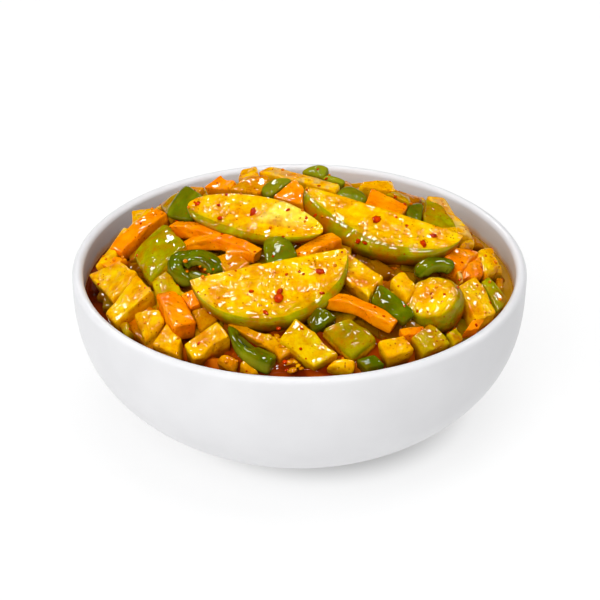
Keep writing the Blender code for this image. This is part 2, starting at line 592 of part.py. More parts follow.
def swept_piece(name, path, width, thickness, rings, sides, squareness, bluntness, narrow, collection, finish):
    """A ball drawn out along a path: a superellipse section, closed at both ends and narrower at the start."""
    bm = bmesh.new()
    bmesh.ops.create_uvsphere(bm, u_segments=sides, v_segments=rings, radius=1.0)
    for vertex in bm.verts:
        z = max(min(vertex.co.z, 1.0), -1.0)
        angle = math.atan2(vertex.co.y, vertex.co.x) + math.pi / sides
        point, ahead = along_path(path, (z + 1) / 2)
        scale = max(1 - abs(z) ** bluntness, 0.0) ** (1 / bluntness) * ((z + 1) / 2) ** narrow
        power = 2 / squareness
        across = math.copysign(abs(math.cos(angle)) ** power, math.cos(angle)) * width / 2 * scale
        rise = math.copysign(abs(math.sin(angle)) ** power, math.sin(angle)) * thickness / 2 * scale
        side = Vector((0, 0, 1)).cross(ahead).normalized()
        up = ahead.cross(side)
        vertex.co = point - up * thickness / 2 + side * across + up * rise
    made = object_from(name, bm, collection, finish)
    made.data.shade_smooth()
    return made


def wedge_section(step, depth, bulge, slope, hidden):
    """Point of a wedge's section: the flesh face, then the skin's arc, then the hidden face."""
    skin_end = WEDGE_FACE_SIDES + WEDGE_SKIN_SIDES
    inner = Vector((-math.cos(slope), math.sin(slope))) * bulge
    outer = Vector((math.cos(slope), -math.sin(slope))) * depth
    low = Vector((math.cos(hidden), -math.sin(hidden))) * depth * 0.9
    if step <= WEDGE_FACE_SIDES:
        return inner.lerp(outer, step / WEDGE_FACE_SIDES)
    if step <= skin_end:
        share = (step - WEDGE_FACE_SIDES) / WEDGE_SKIN_SIDES
        angle = slope + (hidden - slope) * share
        reach = depth * (1 - 0.1 * share) * (1 + (WEDGE_SWELL - 1) * math.sin(math.pi * share))
        return Vector((math.cos(angle), -math.sin(angle))) * reach
    return low.lerp(inner, (step - skin_end) / WEDGE_HIDDEN_SIDES)


def wedge_frame(middle, heading, pitch):
    """Matrix in mm of a wedge: X along its inner edge, Y to the side that its flesh face looks to."""
    turn = Matrix.Rotation(math.radians(heading), 4, "Z") @ Matrix.Rotation(math.radians(-pitch), 4, "Y")
    return Matrix.Translation(middle) @ turn


def make_wedge(row, parts, cutters):
    """A mango wedge drawn from a ball whose rings become wedge sections, with its flakes joined on."""
    name, middle, heading, pitch, length, depth, bulge, slope, hidden, flakes = row
    slope, hidden = math.radians(slope), math.radians(hidden)
    sides = WEDGE_FACE_SIDES + WEDGE_SKIN_SIDES + WEDGE_HIDDEN_SIDES
    frame = wedge_frame(middle, heading, pitch)
    bm = bmesh.new()
    bmesh.ops.create_uvsphere(bm, u_segments=sides, v_segments=WEDGE_RINGS, radius=1.0)
    for vertex in bm.verts:
        z = max(min(vertex.co.z, 1.0), -1.0)
        step = math.floor(math.atan2(vertex.co.y, vertex.co.x) / (2 * math.pi / sides)) % sides
        scale = math.sqrt(max(1 - z * z, 0.0))
        across = wedge_section(step, depth, bulge, slope, hidden) * scale
        vertex.co = frame @ Vector((z * length / 2, -across.x, across.y))
    wedge = object_from(name, bm, parts, "mango_flesh")
    for place, spread, size in flakes:
        fan = math.sqrt(1 - place * place)
        across = ((depth + bulge) * spread - bulge) * fan
        spot = Vector((place * length / 2, -across * math.cos(slope), -across * math.sin(slope)))
        flake = bmesh.new()
        bmesh.ops.create_cube(flake, size=1.0)
        bmesh.ops.scale(flake, vec=(size, size * FLAKE_WIDTH_SHARE, FLAKE_HEIGHT * 2), verts=flake.verts)
        lie = Matrix.Rotation(slope, 4, "X") @ Matrix.Rotation(math.radians(FLAKE_TURN), 4, "Z")
        bmesh.ops.transform(flake, matrix=frame @ Matrix.Translation(spot) @ lie, verts=flake.verts)
        cutter = object_from(name + "_flake", flake, cutters)
        cut(wedge, "UNION", cutter)
        bpy.data.objects.remove(cutter)
    return wedge


def make_round_piece(parts):
    """The round end of a small mango: a ball cut across, with the cut face up and to the front."""
    name, place, radius, lift, heading, rise = ROUND_PIECE
    bm = bmesh.new()
    bmesh.ops.create_uvsphere(bm, u_segments=ROUND_SIDES, v_segments=ROUND_RINGS, radius=radius)
    bmesh.ops.translate(bm, vec=(0.0, 0.0, -ROUND_CUT * radius), verts=bm.verts)
    geometry = bm.verts[:] + bm.edges[:] + bm.faces[:]
    found = bmesh.ops.bisect_plane(
        bm, geom=geometry, dist=0.0001, plane_co=(0, 0, 0), plane_no=(0, 0, 1), clear_outer=True
    )
    bmesh.ops.contextual_create(bm, geom=[e for e in found["geom_cut"] if isinstance(e, bmesh.types.BMEdge)])
    look = Vector((
        math.cos(math.radians(heading)) * math.cos(math.radians(rise)),
        math.sin(math.radians(heading)) * math.cos(math.radians(rise)),
        math.sin(math.radians(rise)),
    ))
    turn = Vector((0, 0, 1)).rotation_difference(look).to_matrix().to_4x4()
    x, y = place
    spot = Matrix.Translation((x, y, heap_height(x, y) + lift))
    bmesh.ops.transform(bm, matrix=spot @ turn, verts=bm.verts)
    return object_from(name, bm, parts, "mango_flesh")


def fill_places(taken):
    """Places of a loose grid over the heap that no laid piece covers yet."""
    draw = random.Random(SEED)
    places = []
    rows = int(FILL_REACH / FILL_SPACING) + 1
    for row in range(-rows, rows + 1):
        for column in range(-rows, rows + 1):
            x = (column + 0.5 * (row % 2)) * FILL_SPACING + draw.uniform(-FILL_STRAY, FILL_STRAY)
            y = row * FILL_SPACING * math.sin(math.radians(60)) + draw.uniform(-FILL_STRAY, FILL_STRAY)
            if math.hypot(x, y) > FILL_REACH:
                continue
            if all(math.hypot(x - a, y - b) > FILL_CLEAR for a, b in taken):
                places.append((x, y))
    return places


def make_toppings(parts, cutters):
    """Every piece that lies free on the heap, the uppermost first."""
    draw = random.Random(SEED + 1)
    made = [make_wedge(row, parts, cutters) for row in MANGO_WEDGES]
    made.append(make_round_piece(parts))
    for name, path, width, thickness in CARROT_BATONS:
        made.append(swept_piece(name, path, width, thickness, BATON_RINGS, BATON_SIDES,
                                BATON_SQUARENESS, BATON_BLUNTNESS, 0.0, parts, "carrot"))
    for name, path, width, thickness, bluntness, narrow in CHILLI_PIECES:
        made.append(swept_piece(name, path, width, thickness, CHILLI_RINGS, CHILLI_SIDES,
                                CHILLI_SQUARENESS, bluntness, narrow, parts, "green_chilli"))
    for name, corners, thickness, square, crown in CHILLI_FLAPS:
        made.append(object_from(name, cut_mesh(corners, thickness, square, crown, draw), parts, "green_chilli"))
    for name, finish, corners, height in CUT_PIECES:
        bm = cut_mesh(corners, height, CUT_SQUARENESS, 0.0, draw)
        bmesh.ops.bevel(bm, geom=bm.edges[:], offset=CHUNK_BEVEL, segments=1, affect="EDGES")
        made.append(object_from(name, bm, parts, finish))
    return made


def footprint(made):
    """Places in mm that an object covers, seen from above: its vertices and its middle."""
    points = [v.co / MM for v in made.data.vertices]
    middle = sum(points, Vector()) / len(points)
    between = [middle.lerp(p, FOOTPRINT) for p in points[::3]]
    return [(middle.x, middle.y)] + [(p.x, p.y) for p in between]


def boxes_meet(first, second):
    """Whether two objects' boxes overlap."""
    spans = []
    for made in (first, second):
        points = [v.co for v in made.data.vertices]
        spans.append([(min(p[k] for p in points), max(p[k] for p in points)) for k in range(3)])
    return all(a[0] < b[1] and b[0] < a[1] for a, b in zip(*spans))


def main():
    for old in list(bpy.data.objects):
        bpy.data.objects.remove(old)
    parts = collection_named(PARTS, True)
    cutters = collection_named(CUTTERS, False)
    chunks = collection_named("chunks_to_join", False)
    clearances = collection_named("clearances", False)

    make_bowl(parts)
    make_oil(parts)
    room = make_envelope(cutters)
    core = make_core(parts)

    toppings = make_toppings(parts, cutters)
    for i, topping in enumerate(toppings):
        for above in clearances.objects:
            if boxes_meet(topping, above):
                cut(topping, "DIFFERENCE", above)
        cut(topping, "INTERSECT", room)
        grown_copy(topping, clearances, CLEARANCE, 0.0)
        grown_copy(topping, clearances, SHADOW_CLEARANCE, SHADOW)

    draw = random.Random(SEED + 2)
    taken = [place for topping in toppings for place in footprint(topping)]
    for kind, corners, height, square in HEAP_CHUNKS:
        object_from(kind + "_chunk", cut_mesh(corners, height, square, 0.0, draw), chunks)
        taken.append((sum(x for x, _, _ in corners) / 4, sum(y for _, y, _ in corners) / 4))
    for x, y in fill_places(taken):
        length = draw.uniform(*FILL_LENGTH)
        bm = fill_mesh(length, draw.uniform(*FILL_WIDTH_SHARE) * length, FILL_HEIGHT, draw)
        tilt = (draw.uniform(-FILL_TILT, FILL_TILT), draw.uniform(-FILL_TILT, FILL_TILT))
        lift = draw.uniform(*FILL_LIFT) - back_fall(y)
        frame = heap_frame(x, y, draw.uniform(0, 180), lift, *tilt)
        bmesh.ops.transform(bm, matrix=frame, verts=bm.verts)
        object_from("fill_chunk", bm, chunks)

    # The heap's many pieces take the MANIFOLD solver, because EXACT leaves nothing of it.
    cut(core, "UNION", chunks, "MANIFOLD")
    cut(core, "INTERSECT", room, "MANIFOLD")
    for above in clearances.objects:
        cut(core, "DIFFERENCE", above, "MANIFOLD")
    for helpers in (chunks, clearances):
        for helper in list(helpers.objects):
            bpy.data.objects.remove(helper)


main()
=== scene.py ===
"""A bowl of achar: cut green mango, carrot and green chilli in spiced oil, in a white glazed bowl.

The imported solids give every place. The pieces here are finer surfaces of the same forms, worked out
as whole arrays in millimetres and put into meshes in metres.
"""

import math

import bpy
import numpy as np
from mathutils import Matrix, Vector


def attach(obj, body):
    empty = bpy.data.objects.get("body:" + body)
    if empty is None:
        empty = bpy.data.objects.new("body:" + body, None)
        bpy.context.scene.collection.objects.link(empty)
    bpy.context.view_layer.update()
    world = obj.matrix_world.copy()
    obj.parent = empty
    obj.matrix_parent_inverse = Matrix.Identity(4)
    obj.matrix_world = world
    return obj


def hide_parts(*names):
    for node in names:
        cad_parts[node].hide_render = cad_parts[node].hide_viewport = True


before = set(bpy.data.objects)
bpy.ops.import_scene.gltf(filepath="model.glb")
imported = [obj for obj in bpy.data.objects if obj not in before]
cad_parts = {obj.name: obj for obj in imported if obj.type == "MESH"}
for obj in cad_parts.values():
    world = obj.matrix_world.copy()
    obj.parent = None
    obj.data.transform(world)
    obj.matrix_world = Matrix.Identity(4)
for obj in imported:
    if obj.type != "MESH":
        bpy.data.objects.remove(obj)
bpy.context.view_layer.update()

MM = 0.001
SEED = 11

# How much in mm the skin side of a chunk and of a larger piece is domed.
CHUNK_DOME = 0.8
SLICE_DOME = 1.2
# A cut piece narrows this much towards its foot, leans up to this much, and its sides turn this far from
# square with the top towards straight down.
TAPER = 0.10
LEAN = 0.09
PLUMB = 0.6

# Kinds of piece that are olive all over, by how much, the thickness in mm under which a piece is a flap, and
# how square a flap's edges are.
OLIVE_SHARES = {"olive_flesh": 0.45, "olive": 0.9}
FLAP_THICKNESS = 4
FLAP_SQUARENESS = 5.0

# The bowl, as the solids have it.
RIM_RADIUS = 79.97
BASE_RADIUS = 38.0
BOWL_HEIGHT = 59.1
WALL = 3.9
FLOOR = 6.0
SIDE_RISE = 3.05
SIDE_SWELL = 1.082
OIL_LEVEL = 48.5
# Where the oil meets the wall it curves up by this height over this width.
OIL_CURVE_HEIGHT = 0.55
OIL_CURVE_WIDTH = 2.2
# Food this far under the heap's surface begins to take painted shade, dark as in the gaps between the pieces,
# and is fully shaded further down.
GAP_SHADE_FROM = 0.5
GAP_SHADE_TO = 6.5

# The heap's own surface is a low dome whose peak lies a little behind the middle of the bowl.
HEAP_EDGE = 53.0
HEAP_RISE = 23.0
HEAP_RADIUS = 80.0
HEAP_PEAK_Y = 14.0
# The core of the heap: how far it reaches from the axis, how far under the heap's surface it lies, how near
# that surface its bumps may come, and how much higher it is in front. Past CORE_DIP_RADIUS from the axis it
# dips under the oil, by CORE_DIP.
CORE_RADIUS = 66.0
CORE_DEPTH = 8.0
CORE_COVER = 2.6
CORE_FRONT_RISE = 3.6
CORE_DIP_RADIUS = 63.0
CORE_DIP = 3.0
# In front of this line no chunks are added, so the oily masala shows in the gaps.
FRONT_LINE = -44.0
# Behind this line the core and what lies loose on it fall off more, towards the wall.
BACK_LINE = 40.0
BACK_FALL = 0.35

# Chunks of the heap that the view shows: kind, the corners of the top in order round it, each as x, y and
# lift over the heap's surface in mm, then the height below the top, and how square the edges are cut.
CHUNKS = (
    ("flesh", ((-74.5, -2.8, 0.5), (-62.7, -6.1, 2.5), (-56.0, -16.0, 2.5), (-64.4, -23.7, 0.5)), 12, 16),
    ("flesh", ((-66.4, -29.1, 1.0), (-55.9, -17.9, 3.5), (-50.1, -28.6, 3.5), (-62.9, -34.6, 1.0)), 10, 16),
    ("flesh", ((-61.5, 32.7, 1.5), (-52.6, 26.6, 1.5), (-52.6, 14.1, 0.5), (-60.4, 16.3, 0.5)), 11, 16),
    ("flesh", ((-71.9, 0.1, 0.0), (-63.2, 20.3, 1.0), (-59.9, 15.6, 1.5), (-68.2, -0.4, 0.5)), 10, 16),
    ("carrot", ((-70.0, -0.3, 0.5), (-64.6, -0.1, 1.0), (-60.5, -2.6, 0.0), (-67.3, -3.4, 0.0)), 6, 16),
    ("skin", ((-51.2, 33.2, 0.0), (-43.2, 36.0, 2.0), (-39.6, 22.0, 2.0), (-47.9, 19.8, 0.0)), 11, 16),
    ("carrot", ((-34.9, 37.4, 0.0), (-29.2, 43.2, 2.0), (-23.3, 30.4, 2.5), (-25.1, 28.3, 0.0)), 9, 16),
    ("amber", ((-25.0, 27.5, 0.5), (-19.8, 35.9, 2.0), (-10.6, 31.4, 3.0), (-14.4, 20.7, 0.5)), 10, 16),
    ("flesh", ((-22.9, 42.2, 0.5), (-21.6, 50.2, 1.5), (-16.1, 50.6, 1.5), (-13.6, 32.9, 1.5)), 10, 7),
    ("carrot", ((-9.7, 17.3, 0.5), (-1.9, 24.3, 4.0), (1.6, 17.2, 3.0), (1.3, 9.7, 0.5)), 10, 16),
    ("carrot", ((3.8, 18.4, 0.5), (11.3, 21.9, 0.5), (11.6, 17.8, 0.0), (4.8, 14.6, 0.0)), 7, 16),
    ("carrot", ((17.2, 14.2, 0.0), (26.2, 15.4, 0.0), (26.8, 12.5, 0.0), (18.6, 9.2, 0.0)), 7, 16),
    ("flesh", ((21.5, 29.6, 0.5), (23.1, 33.0, 1.5), (34.4, 41.3, 1.5), (35.1, 31.5, 0.5)), 9, 16),
    ("olive", ((31.2, 27.1, 0.5), (33.9, 30.5, 1.0), (40.1, 30.6, 1.0), (40.1, 23.0, 0.5)), 9, 16),
    ("pale", ((46.3, 31.2, 2.5), (52.3, 32.5, 3.5), (62.4, 9.4, 1.5), (56.5, 7.6, 2.0)), 13, 16),
    ("skin", ((45.6, 30.2, 1.8), (50.7, 25.2, 2.6), (57.6, 7.7, 1.8), (43.9, 5.8, 0.5)), 13, 16),
    ("flesh", ((47.3, 3.6, 2.5), (55.9, 10.4, 3.0), (56.8, 6.2, 2.5), (51.2, -3.3, 1.5)), 8, 16),
    ("flesh", ((56.6, 2.6, 1.0), (61.3, 9.2, 1.5), (62.6, 6.2, 1.0), (57.9, 0.4, 0.5)), 9, 4),
    ("flesh", ((61.9, 2.7, 2.0), (69.9, 12.0, 2.0), (71.0, -1.9, 0.5), (65.0, -10.7, 0.5)), 13, 4),
    ("carrot", ((50.1, -10.0, 2.5), (53.7, -2.6, 2.0), (64.4, 1.9, 2.0), (56.5, -14.1, 2.5)), 12, 9),
    ("carrot", ((56.7, -11.6, 1.5), (64.3, 0.1, 1.5), (64.3, -10.5, 0.0), (56.9, -16.2, -0.5)), 10, 9),
    ("flesh", ((53.9, -23.8, 2.0), (61.1, -14.0, 2.0), (67.9, -28.1, 2.0), (60.4, -36.6, 2.0)), 12, 16),
    ("skin", ((63.3, -14.4, 0.5), (66.1, -10.2, 1.0), (72.3, -18.0, 0.5), (68.2, -25.6, 0.0)), 9, 16),
    ("flesh", ((30.4, -27.9, 1.5), (35.0, -22.1, 2.0), (40.6, -27.6, 1.5), (36.3, -35.4, 1.0)), 11, 5),
    ("flesh", ((15.6, -17.5, 1.5), (28.7, -28.0, 2.0), (23.0, -37.3, 1.5), (14.1, -28.4, 0.5)), 11, 16),
    ("amber", ((-29.3, -17.0, 1.0), (-21.1, -15.4, 1.0), (-16.9, -21.4, 0.0), (-23.9, -27.2, 0.0)), 10, 16),
    ("amber", ((-20.3, -22.6, -0.5), (-12.8, -20.3, -0.5), (-10.7, -23.8, -1.0), (-18.1, -26.6, -1.0)), 8, 6),
    ("olive", ((-50.5, -21.7, 1.0), (-45.9, -17.8, 1.0), (-38.4, -30.7, 0.5), (-48.2, -33.3, 0.0)), 11, 16),
    ("carrot", ((-40.4, -31.5, 1.0), (-35.7, -30.4, 1.0), (-33.4, -36.8, 0.5), (-36.8, -37.5, 0.0)), 8, 16),
    ("flesh", ((-57.1, -32.9, 1.5), (-47.0, -35.5, 2.0), (-45.8, -40.7, 1.5), (-52.4, -46.3, 0.5)), 12, 6),
    ("flesh", ((-49.2, -49.0, 1.0), (-44.7, -42.8, 2.0), (-39.4, -49.8, 1.0), (-40.6, -54.8, 0.5)), 11, 16),
    ("flesh", ((-38.9, -52.2, 1.5), (-27.0, -47.5, 3.0), (-22.9, -53.2, 2.5), (-35.5, -57.5, 1.0)), 12, 16),
    ("amber", ((-36.9, -36.8, -1.0), (-30.4, -36.4, -1.0), (-26.9, -42.3, -1.5), (-33.6, -45.5, -1.5)), 9, 6),
    ("amber", ((-27.8, -59.0, 0.5), (-25.5, -57.4, 1.0), (-19.5, -59.9, 0.5), (-22.1, -62.8, 0.0)), 8, 4),
    ("amber", ((-20.2, -60.9, -0.5), (-18.6, -59.2, 0.0), (-12.3, -63.7, -0.5), (-17.5, -63.8, -1.0)), 8, 4),
    ("amber", ((-24.4, -46.7, 0.5), (-19.1, -47.8, 0.5), (-5.1, -55.2, 0.5), (-9.0, -57.2, -0.5)), 8, 16),
    ("amber", ((-9.7, -56.3, 0.5), (-5.1, -54.5, 0.5), (-2.1, -57.6, 0.0), (-6.7, -60.4, -0.5)), 8, 6),
    ("amber", ((-5.4, -53.6, 0.0), (-2.4, -54.8, 0.0), (-2.1, -58.1, -0.5), (-5.1, -57.6, -1.0)), 7, 5),
    ("olive_flesh", ((-6.7, -55.3, 1.5), (-1.1, -48.6, 3.0), (12.7, -60.5, 2.0), (4.8, -64.0, 0.5)), 11, 16),
    ("chilli", ((2.5, -47.2, 0.5), (5.9, -43.1, 1.5), (12.8, -46.0, 1.0), (4.5, -50.8, 0.0)), 9, 16),
    ("flesh", ((26.3, -54.3, 2.0), (34.7, -50.9, 2.5), (38.3, -54.2, 1.5), (29.2, -58.4, 0.5)), 13, 16),
    ("chilli", ((18.9, -59.8, 0.0), (24.6, -57.3, 0.0), (28.5, -59.8, 0.0), (22.5, -63.4, 0.0)), 8, 16),
    ("flesh", ((8.4, -63.4, 0.0), (11.4, -60.8, 1.0), (18.9, -60.3, 0.5), (18.2, -63.9, 0.0)), 8, 4),
    ("carrot", ((33.5, -47.1, 0.5), (41.7, -43.7, 0.5), (42.0, -45.5, 0.0), (35.1, -49.2, 0.0)), 7, 16),
    ("olive", ((37.1, -49.5, 0.5), (44.1, -42.4, 1.5), (51.4, -46.3, 0.5), (41.7, -53.2, -0.5)), 11, 16),
    ("olive", ((49.5, -43.4, 0.0), (53.5, -39.7, 0.5), (55.7, -42.6, 0.0), (52.1, -46.3, 0.0)), 8, 16),
    ("carrot", ((56.1, -40.7, 1.0), (58.4, -36.2, 1.5), (63.1, -33.0, 1.0), (61.1, -38.0, 0.5)), 9, 16),
    ("olive", ((-62.4, -33.4, -0.5), (-58.2, -34.3, 0.0), (-56.9, -38.8, -0.5), (-59.3, -39.3, -1.0)), 7, 5),
    ("amber", ((0.5, 34.0, -1.0), (0.5, 44.0, -1.0), (11.5, 44.0, -1.0), (11.5, 34.5, -1.0)), 10, 16),
    ("pale", ((54.5, -14.3, 1.0), (56.3, -12.8, 1.0), (56.8, -17.9, 0.0), (55.3, -19.7, 0.0)), 4, 5),
    ("amber", ((56.5, 26.4, -3.0), (60.6, 26.6, -3.0), (63.2, 21.9, -3.0), (58.7, 21.2, -3.0)), 8, 6),
    ("amber", ((60.9, 21.5, -3.0), (64.5, 19.7, -3.0), (67.1, 14.9, -3.0), (62.6, 14.0, -3.0)), 8, 6),
    ("amber", ((66.3, 15.0, -3.0), (69.2, 13.2, -3.0), (71.0, 8.0, -3.0), (67.3, 8.5, -3.0)), 8, 6),
    ("flesh", ((68.0, 5.4, -3.0), (71.3, 7.0, -3.0), (72.2, 0.8, -3.0), (69.0, -2.8, -3.0)), 8, 6),
    ("amber", ((69.6, -2.9, -3.0), (72.3, -1.2, -3.0), (71.6, -9.2, -3.0), (69.2, -10.8, -3.0)), 8, 6),
)

# Crumbs of the masala that lie half sunk in the gap at the front: x, y, lift and size in mm.
CRUMBS = (
    (-10.4, -52.1, -1.0, 2.6), (-9.1, -53.2, -0.6, 2.2), (-7.6, -52.8, -0.8, 2.8), (-6.4, -53.7, -1.0, 2.2),
    (-8.4, -54.0, -1.4, 2.0), (-5.1, -55.7, -1.2, 3.2), (-3.8, -56.8, -1.2, 2.6), (-5.9, -57.1, -1.6, 2.0),
    (-3.1, -60.7, -1.8, 2.8), (-1.4, -60.7, -1.6, 2.0), (-2.1, -63.4, -1.8, 3.4), (-4.2, -60.8, -2.0, 2.0),
    (-0.5, -61.6, -2.0, 2.2), (0.5, -62.6, -2.0, 2.0),
)

# Larger loose flakes, and the seeds in the cut chilli: x, y, lift and size in mm.
LOOSE_FLAKES = ((-4.6, -60.8, -1.6, 2.2), (-6.9, -49.2, -1.2, 1.8), (-4.1, -63.3, -1.8, 1.6))
POD_SEEDS = (
    (-39.1, -17.7, 1.6, 1.8), (-38.4, -21.6, 0.6, 1.2), (-32.2, -23.4, 1.2, 1.2), (-33.9, -21.9, 1.6, 1.0),
    (-30.8, -25.4, 0.6, 1.0),
)

# Chunks that a rule lays where the list above leaves the heap bare: how far apart they are in mm, their rows
# as a share of that, how far from the axis they go and how far each is moved off its place in mm.
FILL_SPACING = 9.0
FILL_ROW_RATIO = 0.87
FILL_REACH = 67.0
FILL_SHIFT = 1.5
# How near in mm another piece counts as over a place, and how far under it the chunk then lies.
FILL_NEAR = 4.0
FILL_UNDER = 3.0
# Their height and half width in mm, how square they are, how much in mm a corner's lift differs, and how far
# its heading is off a quarter turn, as a share of one.
FILL_HEIGHT = 10.0
FILL_HALF_WIDTHS = (5.0, 8.0)
FILL_SQUARENESS = 12
FILL_TILT = 1.2
FILL_SKEW = 0.2
# Their lift over the heap's surface in mm, in front of the line where the view loses them and behind it, and
# their kinds.
FILL_SEEN_LINE = 35.0
FILL_LIFTS_SEEN = (-6.5, -3.5)
FILL_LIFTS_BEHIND = (-4.0, -1.0)
FILL_KINDS = ("amber", "flesh", "amber", "olive", "carrot", "amber", "flesh", "skin")

# Small things that are scattered where a surface looks up by this much, as the height of its unit normal: how
# many, and from what to what size in mm.
LOOKS_UP = 0.35
FLAKE_COUNT = 150
FLAKE_SIZES = (0.6, 1.5)
SEED_COUNT = 60
SEED_SIZES = (0.9, 1.5)
# Thickness of the small things as a share of their width. Those below the last number are torn and uneven.
FLAKE_FLATNESS = 0.3
WEDGE_FLAKE_FLATNESS = 0.45
LOOSE_FLAKE_FLATNESS = 0.6
CRUMB_FLATNESS = 0.49
SEED_FLATNESS = 0.8
POD_SEED_FLATNESS = 0.7
TORN_FLATNESS = 0.5

# Carrot batons: node, the places and lifts of their path, width and thickness.
CARROT_BATONS = (
    ("carrot_baton_left", ((-49.5, 21.5, 1.5), (-57.5, 13.5, 1.8), (-65.5, 5.0, 1.0)), 6.2, 6.0),
    ("carrot_baton_upper_left", ((-45.0, 9.0, 1.0), (-36.0, 2.5, 1.5), (-27.5, -4.0, 0.0)), 5.2, 5.0),
    (
        "carrot_strip_arched",
        (
            (-41.7, -5.2, -0.5), (-36.4, -5.2, 1.0), (-27.5, -8.2, 2.0), (-19.8, -13.1, 1.8),
            (-13.9, -17.4, 0.8),
        ),
        4.6, 4.6,
    ),
    ("carrot_baton_middle", ((-0.5, -19.0, 0.0), (6.5, -13.5, 1.0), (13.0, -9.0, 1.0)), 6.2, 6.2),
    (
        "carrot_baton_front",
        ((9.3, -37.7, 0.5), (15.3, -38.5, 1.0), (22.0, -40.6, 1.2), (27.6, -43.1, 1.2), (32.3, -45.4, 1.0)),
        5.0, 4.4,
    ),
    ("carrot_baton_front_left", ((-45.0, -28.5, 1.0), (-41.5, -37.5, 2.0), (-38.0, -46.0, 2.5)), 8.0, 7.5),
    ("carrot_bit_centre", ((-25.0, -14.0, 0.5), (-20.5, -15.0, 0.8), (-16.0, -16.0, 0.5)), 4.6, 4.6),
)
# How square their section is, and how bluntly their ends are cut.
BATON_SQUARENESS = 9.0
BATON_BLUNTNESS = 16.0

# How rough the faces of each kind are, in mm, how square the sections of the chilli and of the folds in it
# are, and how bluntly the folds end.
BATON_ROUGHNESS = 0.22
CHILLI_ROUGHNESS = 0.35
FOLD_ROUGHNESS = 0.3
CHILLI_SQUARENESS = 2.5
FOLD_SQUARENESS = 3.0
FOLD_BLUNTNESS = 3.0

# Green chilli pieces: node, path, width, thickness, bluntness, how fast the start narrows, and the opening
# in the pod, if any: its start and end along the path from -1 to 1, and its depth in mm.
CHILLI_PIECES = (
    (
        "chilli_ring_left",
        (
            (-36.8, -22.8, 0.0), (-40.7, -19.4, 0.3), (-43.1, -14.8, 1.0), (-40.9, -12.5, 1.8),
            (-36.4, -13.5, 2.4), (-31.8, -16.0, 2.2), (-28.6, -19.7, 1.4), (-27.5, -23.1, 0.4),
        ),
        5.4, 5.6, 5.0, 0.0, None,
    ),
    (
        "chilli_ring_right",
        (
            (39.8, -20.6, 0.8), (41.6, -18.5, 2.0), (45.0, -15.6, 3.0), (49.0, -13.3, 3.2),
            (52.2, -12.6, 3.0), (54.5, -12.7, 2.0),
        ),
        6.0, 5.6, 5.0, 0.1, None,
    ),
    (
        "chilli_tip_front",
        (
            (-22.8, -47.5, 2.5), (-20.9, -51.5, 2.5), (-18.0, -55.6, 2.5), (-14.0, -59.1, 2.5),
            (-8.0, -61.6, 2.0),
        ),
        8.2, 7.0, 9.0, 0.5, (-0.45, 0.25, 3.0),
    ),
)

# The folds inside the cut chilli ring, which are its inner walls: path, width and thickness.
RING_FOLDS = (
    (
        (
            (-39.7, -17.8, 0.6), (-37.8, -16.5, 1.4), (-34.8, -17.0, 1.8), (-31.6, -19.5, 1.4),
            (-29.5, -22.7, 0.4),
        ),
        3.0, 3.4,
    ),
    (((-37.5, -20.1, 0.0), (-33.9, -23.4, 0.6), (-29.4, -26.5, 0.6)), 3.0, 3.0),
)

# Flaps of capsicum and chilli skin: node, corners as above, thickness, squareness of the outline, the
# rise of the middle in mm, and how much paler they are than the chilli, from 0 to 1. One has no node of its
# own, because it belongs to the heap.
FLAPS = (
    (
        "capsicum_shard_left",
        ((-41.7, 29.5, 7.0), (-33.4, 13.5, 6.0), (-38.2, 7.5, 0.5), (-49.2, 20.3, 0.0)),
        3.0, 6.0, 1.0, 0.1,
    ),
    (
        "capsicum_leaf_back",
        ((-14.5, 24.2, 1.0), (-9.1, 26.4, 4.0), (-1.2, 28.2, 3.0), (-10.5, 16.6, 0.5)),
        3.0, 3.5, 1.2, 0.35,
    ),
    (
        "capsicum_petal_back",
        ((-0.9, 41.1, 1.0), (6.1, 41.7, 4.0), (11.5, 40.8, 4.0), (8.2, 34.2, 1.0)),
        3.5, 3.5, 1.5, 0.4,
    ),
    (
        "capsicum_petal_right",
        ((11.6, 18.2, 1.0), (17.5, 25.9, 3.0), (25.2, 19.1, 2.0), (21.8, 12.9, 0.5)),
        3.5, 3.5, 1.6, 0.25,
    ),
    (
        "capsicum_bit_right",
        ((38.9, 21.2, 1.0), (45.4, 25.0, 2.0), (43.1, 10.3, 0.5), (37.8, 11.1, 0.5)),
        3.5, 5.0, 1.2, 0.1,
    ),
    (
        "chilli_fold_centre",
        ((-12.9, -11.7, 2.0), (-4.6, -11.7, 3.0), (0.5, -19.9, 0.5), (-11.3, -25.5, 0.5)),
        3.5, 4.5, 1.5, 0.15,
    ),
    (
        "chilli_strip_centre",
        ((26.9, -30.8, 2.5), (39.4, -40.5, 2.5), (34.9, -44.6, 1.0), (23.3, -38.3, 1.0)),
        3.5, 7.0, 1.2, 0.0,
    ),
    ("", ((7.9, 35.6, 0.5), (10.1, 38.0, 1.5), (16.9, 33.0, 1.0), (16.1, 29.8, 0.5)), 3.0, 4.0, 0.8, 0.5),
)

